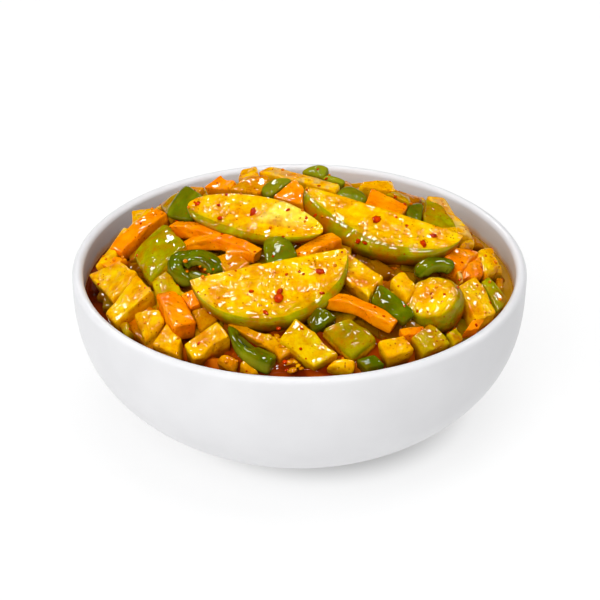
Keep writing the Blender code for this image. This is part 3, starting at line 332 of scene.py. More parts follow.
# Mango wedges: node, middle of the inner edge in mm, heading and pitch in degrees, length, depth of the
# flesh face, bulge of its inner edge, slope of that face and of the hidden face in degrees, and the share
# of the face's depth that is flesh at its start, middle and end; the rest is the skin's round shoulder.
# The flakes on it follow: place along, from -1 to 1, and across, from 0 to 1, and size in mm.
MANGO_WEDGES = (
    (
        "mango_wedge_left", (-15.7, -1.2, 77.0), -27, 2.0, 53.0, 9.0, 11.0, 20, 105, (0.80, 0.90, 0.95),
        ((-0.05, 0.45, 3.0), (-0.42, 0.80, 1.9), (-0.60, 0.42, 1.6), (-0.86, 0.50, 1.9)),
    ),
    (
        "mango_wedge_right", (29.5, 5.1, 76.3), -20, -9.0, 59.0, 18.5, 2.0, 15, 75, (0.50, 0.80, 0.86),
        ((-0.03, 0.38, 3.5), (0.61, 0.72, 3.2), (0.69, 0.40, 2.2), (-0.10, 0.97, 2.2), (-0.02, 0.97, 1.8)),
    ),
    (
        "mango_wedge_front", (-10.4, -29.8, 74.2), 17, 3.6, 55.0, 22.8, 1.5, 27, 80, (0.93, 0.93, 0.80),
        (
            (-0.01, 0.68, 3.5), (0.0, 0.56, 2.4), (0.60, 0.45, 3.0), (-0.24, 0.90, 1.8), (-0.30, 0.5, 1.6),
            (0.5, 0.85, 1.6),
        ),
    ),
)
# The skin's arc swells past a circle by this much at its middle.
WEDGE_SWELL = 1.06
# The left wedge has a lump of flesh left on its face, painted paler, partly as paler flesh and partly as
# painted light on its raised face, and its right end is narrower.
LUMP_HEIGHT = 1.4
NARROW_END = 0.22

# Larger free pieces: node, kind, corners as above, height, squareness.
SLICES = (
    (
        "mango_slice_back", "pale",
        ((-15.9, 42.5, 1.5), (-11.6, 46.2, 2.5), (15.0, 28.2, 1.0), (13.1, 22.2, 0.5)),
        8, 9,
    ),
    (
        "mango_cube_skinned_left", "skin",
        ((-59.1, -1.4, 1.0), (-48.3, 10.5, 2.5), (-39.3, -8.2, 2.5), (-52.3, -20.9, 1.0)),
        10, 9,
    ),
    (
        "mango_chunk_skinned_front", "skin",
        ((6.8, -51.7, 1.5), (16.5, -47.2, 3.0), (26.3, -53.7, 2.5), (17.6, -60.5, 1.0)),
        12, 7,
    ),
    (
        "carrot_cube_back", "carrot",
        ((22.9, 13.0, 1.0), (26.0, 24.4, 3.0), (39.1, 17.2, 2.5), (35.9, 8.5, 1.0)),
        9, 16,
    ),
)

# How uneven a knife and long soaking leave each surface: the height and length of its ripples in mm. Those of
# the sticks and pods are shares of the roughness that their row or piece has.
CUT_RIPPLES = ((0.42, 11.0), (0.20, 4.5), (0.07, 2.2))
STICK_RIPPLES = ((0.7, 8.0), (0.3, 2.6))
CORE_RIPPLES = ((1.7, 11.0), (0.9, 4.5))
CORE_GRAIN = ((0.35, 2.0),)
# Seeds of the ripples of what takes none from the draw. The pieces of a kind count on from its seed.
RIPPLE_SEEDS = {
    "core": 3, "oil": 5, "grain": 6, "wedge": 20, "round": 31, "baton": 40, "chilli": 60, "fold": 70,
}

# The round end of a small mango: place, radius and lift in mm, and the heading and the rise in degrees of
# where its cut face looks.
ROUND_PIECE = ((44.5, -33.0), 10.0, 2.6, 235, 62)
# How far from its middle the ball is cut, as a share of its radius.
ROUND_CUT = 0.56


# ---------------------------------------------------------------- shapes as arrays


def heap_height(x, y):
    """Height in mm of the heap's surface: its edge plus a rise that falls with the square of the distance."""
    return HEAP_EDGE + HEAP_RISE * (1 - (x**2 + (y - HEAP_PEAK_Y) ** 2) / HEAP_RADIUS**2)


def back_fall(y):
    """How far in mm the loose heap lies under its surface: a share of the distance behind the back line."""
    return BACK_FALL * np.maximum(y - BACK_LINE, 0.0)


def on_heap(places):
    """Places given as x, y and lift over the heap's surface, as points."""
    return np.array([(x, y, heap_height(x, y) + lift) for x, y, lift in places])


def moved(points, matrix):
    """Points carried by a 4x4 matrix."""
    return points @ matrix[:3, :3].T + matrix[:3, 3]


def ripple(points, size, seed):
    """A smooth field from about -1 to 1: the sum of seven waves about size mm long in random directions."""
    draw = np.random.default_rng(seed)
    total = np.zeros(points.shape[:-1])
    for _ in range(7):
        direction = draw.normal(size=3)
        direction *= 2 * math.pi / (np.linalg.norm(direction) * size * draw.uniform(0.7, 1.5))
        total += np.sin(points @ direction + draw.uniform(0, 2 * math.pi))
    return total / 2.6


def uneven(points, waves, seed):
    """The sum of ripples, each with its height and length in mm and a seed of its own."""
    return sum(height * ripple(points, length, seed + k) for k, (height, length) in enumerate(waves))


def ease(value, low, high):
    """0 below low, 1 above high, and a smooth step between."""
    share = np.clip((value - low) / (high - low), 0, 1)
    return share * share * (3 - 2 * share)


def closed_faces(rings, sides):
    """Faces of a grid of rings between two poles: a pole, the rings, then the other, all facing one way."""
    ring, side = np.meshgrid(np.arange(rings - 1), np.arange(sides), indexing="ij")
    after = (side + 1) % sides
    low, high = 1 + ring * sides, 1 + (ring + 1) * sides
    quads = np.stack([low + side, low + after, high + after, high + side], -1).reshape(-1, 4)
    each = np.arange(sides)
    following = (each + 1) % sides
    last = 1 + (rings - 1) * sides
    foot = np.stack([np.zeros(sides, int), 1 + following, 1 + each], -1)
    head = np.stack([np.full(sides, last + sides), last + each, last + following], -1)
    return quads, np.concatenate([foot, head])


def part(points, first, final, **values):
    """One closed part: rings of points between two poles, with a value of each named kind per point."""
    rings, sides = points.shape[:2]
    quads, tris = closed_faces(rings, sides)
    every = np.concatenate([first[None], points.reshape(-1, 3), final[None]])
    corners = every[tris]
    quad_corners = every[quads]
    volume = np.einsum("ij,ij->i", corners[:, 0], np.cross(corners[:, 1], corners[:, 2])).sum()
    for a, b, c in ((0, 1, 2), (0, 2, 3)):
        cross = np.cross(quad_corners[:, b], quad_corners[:, c])
        volume += np.einsum("ij,ij->i", quad_corners[:, a], cross).sum()
    if volume < 0:
        quads, tris = quads[:, ::-1], tris[:, ::-1]
    kept = {}
    for name, value in values.items():
        grid = np.broadcast_to(value, points.shape[:2])
        kept[name] = np.concatenate([[grid[0].mean()], grid.reshape(-1), [grid[-1].mean()]])
    return {"points": every, "quads": quads, "tris": tris, "values": kept}


def corner_angles(count, start, stop, closed):
    """Angles from start to stop that lie closer together at the corners, halfway between the axes."""
    if closed:
        even = start + (stop - start) * (np.arange(count) + 0.5) / count
    else:
        even = start + (stop - start) * (np.arange(count) + 1) / (count + 1)
    return even + 0.19 * np.sin(4 * even)


def reach(angle, power):
    """Distance from the middle to a superellipse: (|cos| ** power + |sin| ** power) ** (-1 / power)."""
    return (np.abs(np.cos(angle)) ** power + np.abs(np.sin(angle)) ** power) ** (-1 / power)


def cut_piece(kind, corners, height, square, draw, rings=22, sides=40, dome=0.0, outline=None):
    """A cut piece whose top lies between four corners: a rounded box whose upper corners are those given.

    In the unit box a point is reach(rise) cos(rise) reach(turn) times (cos(turn), sin(turn)) across and
    reach(rise) sin(rise) up. The two across run between the corners, and up runs from height mm below
    them to the top. Then it's tapered and rippled, and its top rises by dome mm times 1 less half of the
    squares of the two across. In a thin flap the underside rises with it.
    """
    rise = corner_angles(rings, -math.pi / 2, math.pi / 2, False)[:, None]
    turn = corner_angles(sides, 0, 2 * math.pi, True)[None, :]
    out = reach(rise, square) * np.cos(rise)
    across = reach(turn, outline or square)
    level = reach(rise, square) * np.sin(rise) * np.ones_like(turn)
    unit = np.stack([out * across * np.cos(turn), out * across * np.sin(turn), level], -1)
    unit = np.concatenate([unit, np.array([[[0, 0, -1.0]], [[0, 0, 1.0]]]).repeat(sides, 1)])
    lean = draw.uniform(-LEAN, LEAN, 4)
    depth = (1 - unit[..., 2]) / 2
    u = unit[..., 0] * (1 - TAPER * depth) + lean[0] * depth
    v = unit[..., 1] * (1 - TAPER * depth) + lean[1] * depth
    a, b, c, d = on_heap(corners)
    up = np.cross(c - a, d - b)
    up *= np.sign(up[2]) / np.linalg.norm(up)
    down = up + [lean[2], lean[3], PLUMB]
    down *= -height / np.linalg.norm(down)
    shares = np.stack([(1 - u) * (1 - v), (1 + u) * (1 - v), (1 + u) * (1 + v), (1 - u) * (1 + v)], -1) / 4
    points = shares @ np.array([a, b, c, d]) + depth[..., None] * down
    swell = dome * (1 - 0.5 * unit[..., 0] ** 2 - 0.5 * unit[..., 1] ** 2)
    if height >= FLAP_THICKNESS:
        swell = swell * (1 - depth)
    points = points + (swell - dome * 0.5)[..., None] * up
    level = unit[:-2, :, 2]
    values = {"tone": draw.uniform(0.0, 0.3), "olive": OLIVE_SHARES.get(kind, 0.0)}
    # The lower part of the piece, deeper in colour partly from soaking and partly as painted shade.
    values["soak"] = ease(depth[:-2], 0.15, 0.9)
    values["skin"] = ease(level, 0.3, 0.95) if kind == "skin" else 0.0
    values["pale"] = ease(level, 0.85, 0.98) if kind == "pale" else 0.0
    if kind == "amber":
        values["tone"] = draw.uniform(0.55, 0.9)
    normal = unit / np.linalg.norm(unit, axis=-1, keepdims=True)
    seed = int(draw.integers(1 << 30))
    size = min(1.0, height / 8)
    points = points + normal * (size * uneven(points, CUT_RIPPLES, seed))[..., None]
    return part(points[:-2], points[-2, 0], points[-1, 0], **values)


def smooth_path(spots, share):
    """Points and directions on a curve through the spots: cubics whose slopes come from the spots around."""
    spans = len(spots) - 1
    at = np.clip(share, 0, 1) * spans
    i = np.minimum(at.astype(int), spans - 1)
    t = (at - i)[:, None]
    longer = np.vstack([2 * spots[0] - spots[1], spots, 2 * spots[-1] - spots[-2]])
    before, a, b, after = longer[i], longer[i + 1], longer[i + 2], longer[i + 3]
    start, stop = (b - before) / 2, (after - a) / 2
    place = (2 * t**3 - 3 * t**2 + 1) * a + (t**3 - 2 * t**2 + t) * start
    place += (3 * t**2 - 2 * t**3) * b + (t**3 - t**2) * stop
    ahead = (6 * t**2 - 6 * t) * (a - b) + (3 * t**2 - 4 * t + 1) * start + (3 * t**2 - 2 * t) * stop
    return place, ahead / np.linalg.norm(ahead, axis=1, keepdims=True)


def swept_part(path, width, thickness, squareness, bluntness, narrow, seed, rough, opening=None):
    """A section carried along a path on the heap: a superellipse that shrinks to a point at both ends.

    The section's half width and half thickness are scaled by (1 - |share| ** bluntness) ** (1 / bluntness),
    times the share of the path to the power narrow. An opening sinks the skin between its two ends, by a
    bell of the angle round the section. The rims are where the section is widest.
    """
    spots = on_heap(path)
    rings, sides = 44, 32
    rise = corner_angles(rings, -math.pi / 2, math.pi / 2, False)
    along = reach(rise, bluntness) * np.sin(rise)
    scale = reach(rise, bluntness) * np.cos(rise) * ((along + 1) / 2 + 1e-6) ** narrow
    ends = np.array([-1.0, 1.0])
    share = (np.concatenate([along, ends]) + 1) / 2
    place, ahead = smooth_path(spots, share)
    side = np.cross([0, 0, 1.0], ahead)
    side /= np.linalg.norm(side, axis=1, keepdims=True)
    up = np.cross(ahead, side)
    place = place - up * thickness / 2
    angle = corner_angles(sides, 0, 2 * math.pi, True)
    across = reach(angle, squareness) * np.cos(angle)
    lift = reach(angle, squareness) * np.sin(angle)
    sideways = side[:-2, None] * (across * width / 2)[None, :, None]
    upwards = up[:-2, None] * (lift * thickness / 2)[None, :, None]
    grid = place[:-2, None] + scale[:, None, None] * (sideways + upwards)
    outward = grid - place[:-2, None]
    outward /= np.maximum(np.linalg.norm(outward, axis=-1, keepdims=True), 1e-6)
    grid += outward * rough * uneven(grid, STICK_RIPPLES, seed)[..., None]
    sunk = np.zeros((rings, sides))
    if opening:
        start, stop, depth = opening
        open_ring = ease(along, start - 0.12, start + 0.08) * (1 - ease(along, stop - 0.08, stop + 0.12))
        sunk = open_ring[:, None] * ease(np.exp(-(((angle - math.radians(60)) / 0.75) ** 2)), 0.2, 0.75)[None]
        grid -= outward * (depth * sunk)[..., None]
    rim = ease(np.abs(across), 0.86, 0.99)[None] * np.ones((rings, 1))
    # The opening's share, which the chilli finish darkens as painted shade inside the pod.
    return part(grid, place[-2], place[-1], rim=rim, hollow=ease(sunk, 0.3, 0.7))


def wedge_section(count_face, count_skin, count_hidden, depth, bulge, slope, hidden):
    """Section of a wedge: the straight flesh face, the skin's arc and the straight hidden face, softened.

    The arc turns from the slope of the one face to that of the other, its radius swelling in between.
    """
    inner = np.array([-math.cos(slope), math.sin(slope)]) * bulge
    outer = np.array([math.cos(slope), -math.sin(slope)]) * depth
    low = np.array([math.cos(hidden), -math.sin(hidden)]) * depth * 0.9
    face = inner + (outer - inner) * (np.arange(count_face) / count_face)[:, None]
    share = np.arange(count_skin) / count_skin
    angle = slope + (hidden - slope) * share
    radius = depth * (1 - 0.1 * share) * (1 + (WEDGE_SWELL - 1) * np.sin(math.pi * share))
    arc = np.stack([np.cos(angle), -np.sin(angle)], -1) * radius[:, None]
    back = low + (inner - low) * (np.arange(count_hidden) / count_hidden)[:, None]
    section = np.concatenate([face, arc, back])
    section = (np.roll(section, 1, 0) + 2 * section + np.roll(section, -1, 0)) / 4
    return section


def wedge_part(row, seed, rings=72):
    """A mango wedge: its section scaled by the square root of (1 - share ** 2) along its length.

    Past the flesh the face falls away as the square of the distance, which rounds the skin's shoulder.
    """
    name, middle, heading, pitch, length, depth, bulge, slope, hidden, flesh, flakes = row
    faces, skins = 26, 22
    section = wedge_section(faces, skins, 10, depth, bulge, math.radians(slope), math.radians(hidden))
    angle = math.pi * (np.arange(rings) + 1) / (rings + 1)
    along, scale = -np.cos(angle), np.sin(angle)
    if name == "mango_wedge_left":
        scale = scale * (1 - NARROW_END * ease(along, 0.2, 1.0))
    grid = np.stack(
        [
            (along * length / 2)[:, None] * np.ones(len(section)),
            -scale[:, None] * section[:, 0],
            scale[:, None] * section[:, 1],
        ],
        -1,
    )
    out = np.array([0.0, -math.sin(math.radians(slope)), math.cos(math.radians(slope))])
    at = np.arange(len(section))
    spread = at / faces
    edge = np.interp(along, [-0.9, 0.0, 0.9], flesh)[:, None]
    past = np.clip((spread - edge) / (1 - edge), 0, 1)
    fade = np.clip((faces + skins - at) / skins, 0, 1)
    grid -= out * (0.5 * depth * (1 - edge) * past**2 * fade**2 * scale[:, None])[..., None]
    skin = ease(spread - edge, -0.02, 0.02) * (at < faces + skins)
    inside = (spread < 1) * ease(spread, 0.0, 0.12) * (1 - ease(spread - edge, -0.1, 0.0))
    relief = 0.35 * ripple(grid * [0.45, 1, 1], 5.0, seed) + 0.16 * ripple(grid, 2.4, seed + 1)
    lump = np.zeros_like(relief)
    if name == "mango_wedge_left":
        near = along[:, None] + 0.35 * spread
        lump = ease(near, 0.22, 0.27) * (1 - ease(near, 0.66, 0.95)) * (1 - ease(spread, 0.58, 0.66))
        relief = relief + LUMP_HEIGHT * lump
    grid += out * (relief * inside)[..., None]
    turn = Matrix.Rotation(math.radians(heading), 4, "Z") @ Matrix.Rotation(math.radians(-pitch), 4, "Y")
    matrix = np.array(Matrix.Translation(middle) @ turn)
    first, final = moved(np.array([[-length / 2, 0, 0], [length / 2, 0, 0]]), matrix)
    grid = moved(grid, matrix)
    # The skin's lower shoulder, darker partly from soaking and partly as painted shade.
    soak = ease(spread - edge, 0.03, 0.55) * (spread > edge)
    olive = 0.6 * ease(spread - edge, -0.22, 0.0)
    # Away from the lump the face is a little deeper in tone, so the lump reads paler: partly paler flesh,
    # partly painted light.
    tone = 0.05 * (1 - lump)
    made = part(grid, first, final, skin=skin, olive=olive, tone=tone, soak=soak, bright=lump)
    lean = np.array(turn)[:3, :3] @ out
    made["flakes"] = [
        (grid[np.abs(along - a).argmin(), int(b * (faces - 1))], lean, size) for a, b, size in flakes
    ]
    return made


def turned_rings(profile, steps):
    """Points of (radius, height) turned round Z, as one ring each."""
    angle = 2 * math.pi * np.arange(steps) / steps
    radius, height = np.array(profile).T[..., None]
    return np.stack([radius * np.cos(angle), radius * np.sin(angle), height * np.ones(steps)], -1)


def turned_part(profile, steps, **values):
    """A profile of (radius, height) from the axis back to the axis, turned round Z, with values along it."""
    ends = [np.array([0.0, 0.0, profile[k][1]]) for k in (0, -1)]
    values = {key: np.array(value[1:-1])[:, None] for key, value in values.items()}
    return part(turned_rings(profile[1:-1], steps), ends[0], ends[1], **values)


def round_part(seed):
    """The end of a small mango: a ball cut across, whose cut face is a flat disc with a rounded edge."""
    (x, y), radius, lift, heading, rise = ROUND_PIECE
    share = np.linspace(0, 0.96, 16)
    face = math.sqrt(1 - ROUND_CUT**2) * radius
    angle = np.linspace(math.asin(ROUND_CUT) - 0.06, -math.pi / 2, 26)
    disc = np.stack([face * share, -0.25 * share**10], -1)
    body = radius * np.stack([np.cos(angle), np.sin(angle) - ROUND_CUT], -1)
    profile = np.concatenate([disc, body])
    profile[-1, 0] = 0.0
    skin = np.concatenate([np.zeros(len(disc)), [0.6], np.ones(len(body) - 1)])
    olive = np.concatenate([ease(share, 0.55, 1.0) * 0.6, np.ones(len(body))])
    # The body below the cut face, darker partly from soaking and partly as painted shade.
    soak = np.concatenate([np.zeros(len(disc)), ease(np.arange(len(body)), 2, 12)])
    made = turned_part(profile, 56, skin=skin, olive=olive, soak=soak)
    look = Vector((
        math.cos(math.radians(heading)) * math.cos(math.radians(rise)),
        math.sin(math.radians(heading)) * math.cos(math.radians(rise)),
        math.sin(math.radians(rise)),
    ))
    turn = Vector((0, 0, 1)).rotation_difference(look).to_matrix().to_4x4()
    points = made["points"] * (1 + 0.03 * ripple(made["points"], 14.0, seed))[:, None]
    points = points + np.array([[0.0, 0.0, 0.25]]) * ripple(points, 4.0, seed + 1)[:, None]
    made["points"] = moved(points, np.array(Matrix.Translation((x, y, heap_height(x, y) + lift)) @ turn))
    return made


def side_radius(z):
    """Radius of the bowl's outer side: base + (rim - base) (1 - (1 - z / height) ** rise) ** (1 / swell)."""
    share = 1 - (1 - z / BOWL_HEIGHT) ** SIDE_RISE
    return BASE_RADIUS + (RIM_RADIUS - BASE_RADIUS) * share ** (1 / SIDE_SWELL)


def side_line(inset, low, high, count):
    """The side's outline from high to low, moved inwards by inset mm along its normal."""
    z = high + (low - high) * np.linspace(0, 1, count) ** 0.8
    slope = (side_radius(np.minimum(z + 0.05, BOWL_HEIGHT)) - side_radius(np.maximum(z - 0.05, 0))) / 0.1
    length = np.hypot(1.0, slope)
    return np.stack([side_radius(z) - inset / length, z + inset * slope / length], -1)


def bowl_part():
    """The bowl: floor, inner side, round lip, outer side and flat base as one turned profile."""
    lip = WALL / 2
    inner = side_line(WALL, 3.5, BOWL_HEIGHT - lip, 40)
    inner = inner[inner[:, 1] > FLOOR + 0.4][::-1]
    angle = np.linspace(math.pi, 0, 15)[1:-1]
    top = np.stack([RIM_RADIUS - lip + lip * np.cos(angle), BOWL_HEIGHT - lip + lip * np.sin(angle)], -1)
    outer = side_line(0.0, 1.0, BOWL_HEIGHT - lip - 0.5, 40)
    foot = [(BASE_RADIUS + out, up) for out, up in ((1.4, 0.45), (0.7, 0.12), (0.0, 0.0), (-2.0, 0.0))]
    floor = np.array([(0.0, FLOOR), (20.0, FLOOR), (34.0, FLOOR)])
    profile = np.concatenate([floor, inner, top, outer, foot, [(0.0, 0.0)]])
    inside = np.zeros(len(profile))
    inside[: len(floor) + len(inner)] = 1.0
    return turned_part(profile, 160, inside=inside)


def oil_part():
    """The oil up to its level: a turned profile that reaches just into the wall and curves up at it."""
    wall = side_line(WALL - 0.15, 3.5, BOWL_HEIGHT - 2, 60)
    wall = wall[wall[:, 1] < OIL_LEVEL + 0.7]
    wall = wall[wall[:, 1] > FLOOR + 0.6]
    edge = wall[0, 0]
    radius = np.linspace(34.0, edge - 0.25, 40)
    near = np.clip((radius - edge) / OIL_CURVE_WIDTH + 1, 0, 1)
    top = np.stack([radius, OIL_LEVEL + OIL_CURVE_HEIGHT * near**2], -1)
    under_heap = [(0.0, OIL_LEVEL - 9), (30.0, OIL_LEVEL - 9)]
    bottom = [(34.0, FLOOR + 0.3), (0.0, FLOOR + 0.3)]
    made = turned_part(np.concatenate([under_heap, top, wall, bottom]), 160)
    points = made["points"]
    on_top = ease(points[:, 2], OIL_LEVEL - 0.5, OIL_LEVEL - 0.1)
    free = np.hypot(points[:, 0], points[:, 1]) < edge - 2
    points[:, 2] += 0.10 * ripple(points, 6.0, RIPPLE_SEEDS["oil"]) * on_top * free
    return made


def core_part():
    """The heap's core: a dome under the heap's surface, as uneven as small pieces, closed in the oil.

    It rises in front, where the wet masala shows in the gaps, and falls off behind with the loose heap.
    """
    rings, sides = 90, 200
    radius = CORE_RADIUS * (np.arange(rings) + 1) / rings
    angle = 2 * math.pi * np.arange(sides) / sides
    x, y = radius[:, None] * np.cos(angle), radius[:, None] * np.sin(angle)
    flat = np.stack([x, y, np.zeros_like(x)], -1)
    z = heap_height(x, y) - CORE_DEPTH + uneven(flat, CORE_RIPPLES, RIPPLE_SEEDS["core"])
    z += uneven(flat, CORE_GRAIN, RIPPLE_SEEDS["grain"])
    z += CORE_FRONT_RISE * ease(-y, 42.0, 50.0)
    z = np.minimum(z, heap_height(x, y) - CORE_COVER) - back_fall(y)
    z = np.where(radius[:, None] > CORE_DIP_RADIUS, OIL_LEVEL - CORE_DIP, z)
    top = np.stack([x, y, z], -1)
    under = np.array([(62.0, 46.0), (58.0, 36.0), (48.0, 22.0), (30.0, 7.0)])
    grid = np.concatenate([top, turned_rings(under, sides)])
    return part(grid, np.array([0.0, 0.0, heap_height(0, 0) - 6.0]), np.array([0.0, 0.0, 7.0]))


def scattered(count, hosts, draw, facing):
    """Places for small things: seeded picks among the faces that look up on other parts' upper halves."""
    points, normals = [], []
    for host in hosts:
        place = host["points"]
        middle = place.mean(0)
        quads = host["quads"]
        corner = place[quads]
        normal = np.cross(corner[:, 2] - corner[:, 0], corner[:, 3] - corner[:, 1])
        size = np.linalg.norm(normal, axis=1, keepdims=True)
        normal = normal / np.maximum(size, 1e-9)
        centre = corner.mean(1)
        kept = (normal[:, 2] > facing) & (centre[:, 2] > middle[2])
        points.append(centre[kept])
        normals.append(normal[kept])
    points, normals = np.concatenate(points), np.concatenate(normals)
    picked = draw.integers(0, len(points), count)
    return points[picked], normals[picked]


def small_part(centre, normal, size, flatness, draw, sides=6):
    """A flake, seed or crumb: a ball of three rings, as flat as asked, lying on its host."""
    rise = np.array([-0.7, 0.0, 0.7])[:, None]
    turn = 2 * math.pi * np.arange(sides)[None] / sides
    torn = flatness < TORN_FLATNESS
    rough = draw.uniform(0.65, 1.25, (3, sides)) if torn else draw.uniform(0.93, 1.07, (3, sides))
    long = draw.uniform(0.75, 1.35) if torn else 1.0
    grid = np.stack(
        [
            np.cos(rise) * np.cos(turn) * rough * long,
            np.cos(rise) * np.sin(turn) * rough / long,
            np.sin(rise) * np.ones_like(turn) * flatness,
        ],
        -1,
    ) * size / 2
    spin = Matrix.Rotation(draw.uniform(0, 2 * math.pi), 3, "Z")
    lie = Vector((0, 0, 1)).rotation_difference(Vector(normal)).to_matrix() @ spin
    grid = grid @ np.array(lie).T + centre + normal * size * flatness * 0.25
    pole = normal * size * flatness / 2
    middle = centre + normal * size * flatness * 0.25
    return part(grid, middle - pole, middle + pole)


def set_out(rows, flatness, draw):
    """Small parts at listed places on the heap: x, y, lift and size in mm."""
    upright = np.array([0.0, 0.0, 1.0])
    spots = on_heap([row[:3] for row in rows])
    return [small_part(spot, upright, row[3], flatness, draw, sides=9) for spot, row in zip(spots, rows)]


# ---------------------------------------------------------------- meshes


def piece(name, parts, finish, replaced=()):
    """One mesh object from closed parts in mm, riding on the bowl's body and standing for the named nodes.

    Each point also keeps how far it lies sunk under the heap's surface, from 0 at that surface to 1 deep
    in it, where the food's finishes paint shade as in the gaps between the pieces.
    """
    points, faces, at = [], [], 0
    for made in parts:
        x, y, z = made["points"].T
        made["values"]["sunk"] = ease(heap_height(x, y) - back_fall(y) - z, GAP_SHADE_FROM, GAP_SHADE_TO)
        points.append(made["points"])
        faces += (made["quads"] + at).tolist() + (made["tris"] + at).tolist()
        at += len(made["points"])
    mesh = bpy.data.meshes.new(name)
    mesh.from_pydata((np.concatenate(points) * MM).tolist(), [], faces)
    for key in sorted({key for made in parts for key in made["values"]}):
        value = np.concatenate([made["values"].get(key, np.zeros(len(made["points"]))) for made in parts])
        mesh.attributes.new(key, "FLOAT", "POINT").data.foreach_set("value", value.astype(np.float32))
    mesh.update()
    mesh.shade_smooth()
    mesh.materials.append(finish)
    made = bpy.data.objects.new(name, mesh)
    bpy.context.scene.collection.objects.link(made)
    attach(made, "root")
    if replaced:
        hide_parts(*replaced)


# ---------------------------------------------------------------- materials

# Marks on the wet food, in mm: how wide the patches of ground spice are, how far apart its specks lie and how
# wide the groups of them are, how wide the pools of the oil film are, and the areas where it lies thicker.
SPICE_PATCH = 5.88
SPECK_SPACING = 1.613
SPECK_GROUP = 4.17
OIL_POOL = 3.57
OIL_AREA = 10.53


def linear(code):
    """An sRGB hex value as linear red, green, blue and alpha."""
    values = [int(code[i : i + 2], 16) / 255 for i in (1, 3, 5)]
    return tuple(v / 12.92 if v <= 0.04045 else ((v + 0.055) / 1.055) ** 2.4 for v in values) + (1.0,)


def scale_of(size):
    """A pattern's scale for marks that are about size mm across."""
    return 1 / (size * MM)


def add(tree, kind, links=None, stops=None, output=None, **settings):
    """Adds a node: settings, inputs as values, hex colours or other nodes' outputs, and a ramp's stops.

    What comes back is the output that is named, or else the first one that the node uses.
    """
    node = tree.nodes.new("ShaderNode" + kind)
    for key, value in settings.items():
        setattr(node, key, value)
    for key, value in (links or {}).items():
        if isinstance(value, bpy.types.NodeSocket):
            tree.links.new(value, node.inputs[key])
        else:
            node.inputs[key].default_value = linear(value) if isinstance(value, str) else value
    if stops:
        ramp = node.color_ramp.elements
        while len(ramp) < len(stops):
            ramp.new(0.5)
        for element, (position, colour) in zip(ramp, stops):
            element.position = position
            element.color = linear(colour) if isinstance(colour, str) else (colour, colour, colour, 1.0)
    if output:
        return node.outputs[output]
    return next((socket for socket in node.outputs if socket.enabled), None)


def new_material(name):
    """An empty node material of that name, with its tree."""
    made = bpy.data.materials.new(name)
    made.use_nodes = True
    made.node_tree.nodes.clear()
    return made, made.node_tree


def wet_food(name, bare, spice, specks, coat, depth, grain, lift):
    """Cut vegetable or fruit in spiced oil.

    bare(tree, place) gives the food's own colour. Over it lie patches and specks of ground spice, as strong
    as spice and specks say, and a film of oil whose ripples are grain mm wide and lift mm high where it
    pools. The lower sides take more spice, partly from soaking and partly as painted shade, and deep between
    the pieces the food is painted dark brown as shade. Light goes into the food by the share depth. Skin is
    smoother than flesh, and dry streaks shine less.
    """
    made, tree = new_material(name)
    place = add(tree, "TexCoord", output="Object")
    soak, sunk, bright, skin, dry = (
        add(tree, "Attribute", output="Fac", attribute_name=key)
        for key in ("soak", "sunk", "bright", "skin", "pale")
    )
    film = add(
        tree, "TexNoise", {"Vector": place, "Scale": scale_of(SPICE_PATCH), "Detail": 5.0, "Roughness": 0.65}
    )
    film = add(tree, "Math", {0: soak, 1: 0.16, 2: film}, operation="MULTIPLY_ADD")
    film = add(tree, "ValToRGB", {0: film}, [(0.44, 0.0), (0.70, spice)])
    sunk = add(tree, "Math", {0: sunk, 1: 0.8}, operation="MULTIPLY")
    cells = add(tree, "TexVoronoi", {"Vector": place, "Scale": scale_of(SPECK_SPACING), "Randomness": 1.0})
    dots = add(tree, "ValToRGB", {0: cells}, [(0.12, specks), (0.28, 0.0)])
    sparse = add(tree, "TexNoise", {"Vector": place, "Scale": scale_of(SPECK_GROUP), "Detail": 2.0})
    sparse = add(tree, "ValToRGB", {0: sparse}, [(0.47, 0.0), (0.57, 1.0)])
    dots = add(tree, "Math", {0: dots, 1: sparse}, operation="MULTIPLY")
    colour = bare(tree, place)
    # Painted shade: #5E2C00 darkens the food deep between the pieces, and the spice film is heavier on the
    # lower sides, partly as painted shade.
    for share, over in ((film, "#C44200"), (sunk, "#5E2C00"), (dots, "#9E3A00")):
        colour = add(tree, "Mix", {0: share, 6: colour, 7: over}, data_type="RGBA")
    fine = add(tree, "TexNoise", {"Vector": place, "Scale": scale_of(grain), "Detail": 0.0})
    broad = add(
        tree, "TexNoise", {"Vector": place, "Scale": scale_of(OIL_POOL), "Detail": 0.0, "Distortion": 0.7}
    )
    height = add(tree, "Math", {0: fine, 1: 0.35, 2: broad}, operation="MULTIPLY_ADD")
    area = add(tree, "TexNoise", {"Vector": place, "Scale": scale_of(OIL_AREA), "Detail": 1.0})
    area = add(tree, "MapRange", {0: area, 1: 0.44, 2: 0.62, 3: 0.12, 4: 1.0})
    area = add(tree, "Math", {0: area, 1: bright}, operation="MAXIMUM")
    height = add(tree, "Math", {0: height, 1: area}, operation="MULTIPLY")
    smooth = add(tree, "MapRange", {0: skin, 1: 0.0, 2: 1.0, 3: 1.0, 4: 0.6})
    height = add(tree, "Math", {0: height, 1: smooth}, operation="MULTIPLY")
    relief = add(tree, "Bump", {"Strength": 1.0, "Distance": lift * MM, "Height": height})
    shader = add(
        tree,
        "BsdfPrincipled",
        {
            "Base Color": colour,
            "Roughness": add(tree, "MapRange", {0: broad, 1: 0.3, 2: 0.7, 3: 0.3, 4: 0.55}),
            "Normal": relief,
            "Specular IOR Level": 0.0,
            "Subsurface Weight": depth,
            "Subsurface Radius": (1.0, 0.5, 0.1),
            "Subsurface Scale": 0.0015,
            "Coat Weight": add(tree, "MapRange", {0: dry, 1: 0.0, 2: 0.5, 3: coat, 4: 0.3 * coat}),
            "Coat Roughness": 0.045,
            "Coat IOR": 1.47,
            "Coat Normal": relief,
        },
    )
    add(tree, "OutputMaterial", {0: shader})
    return made


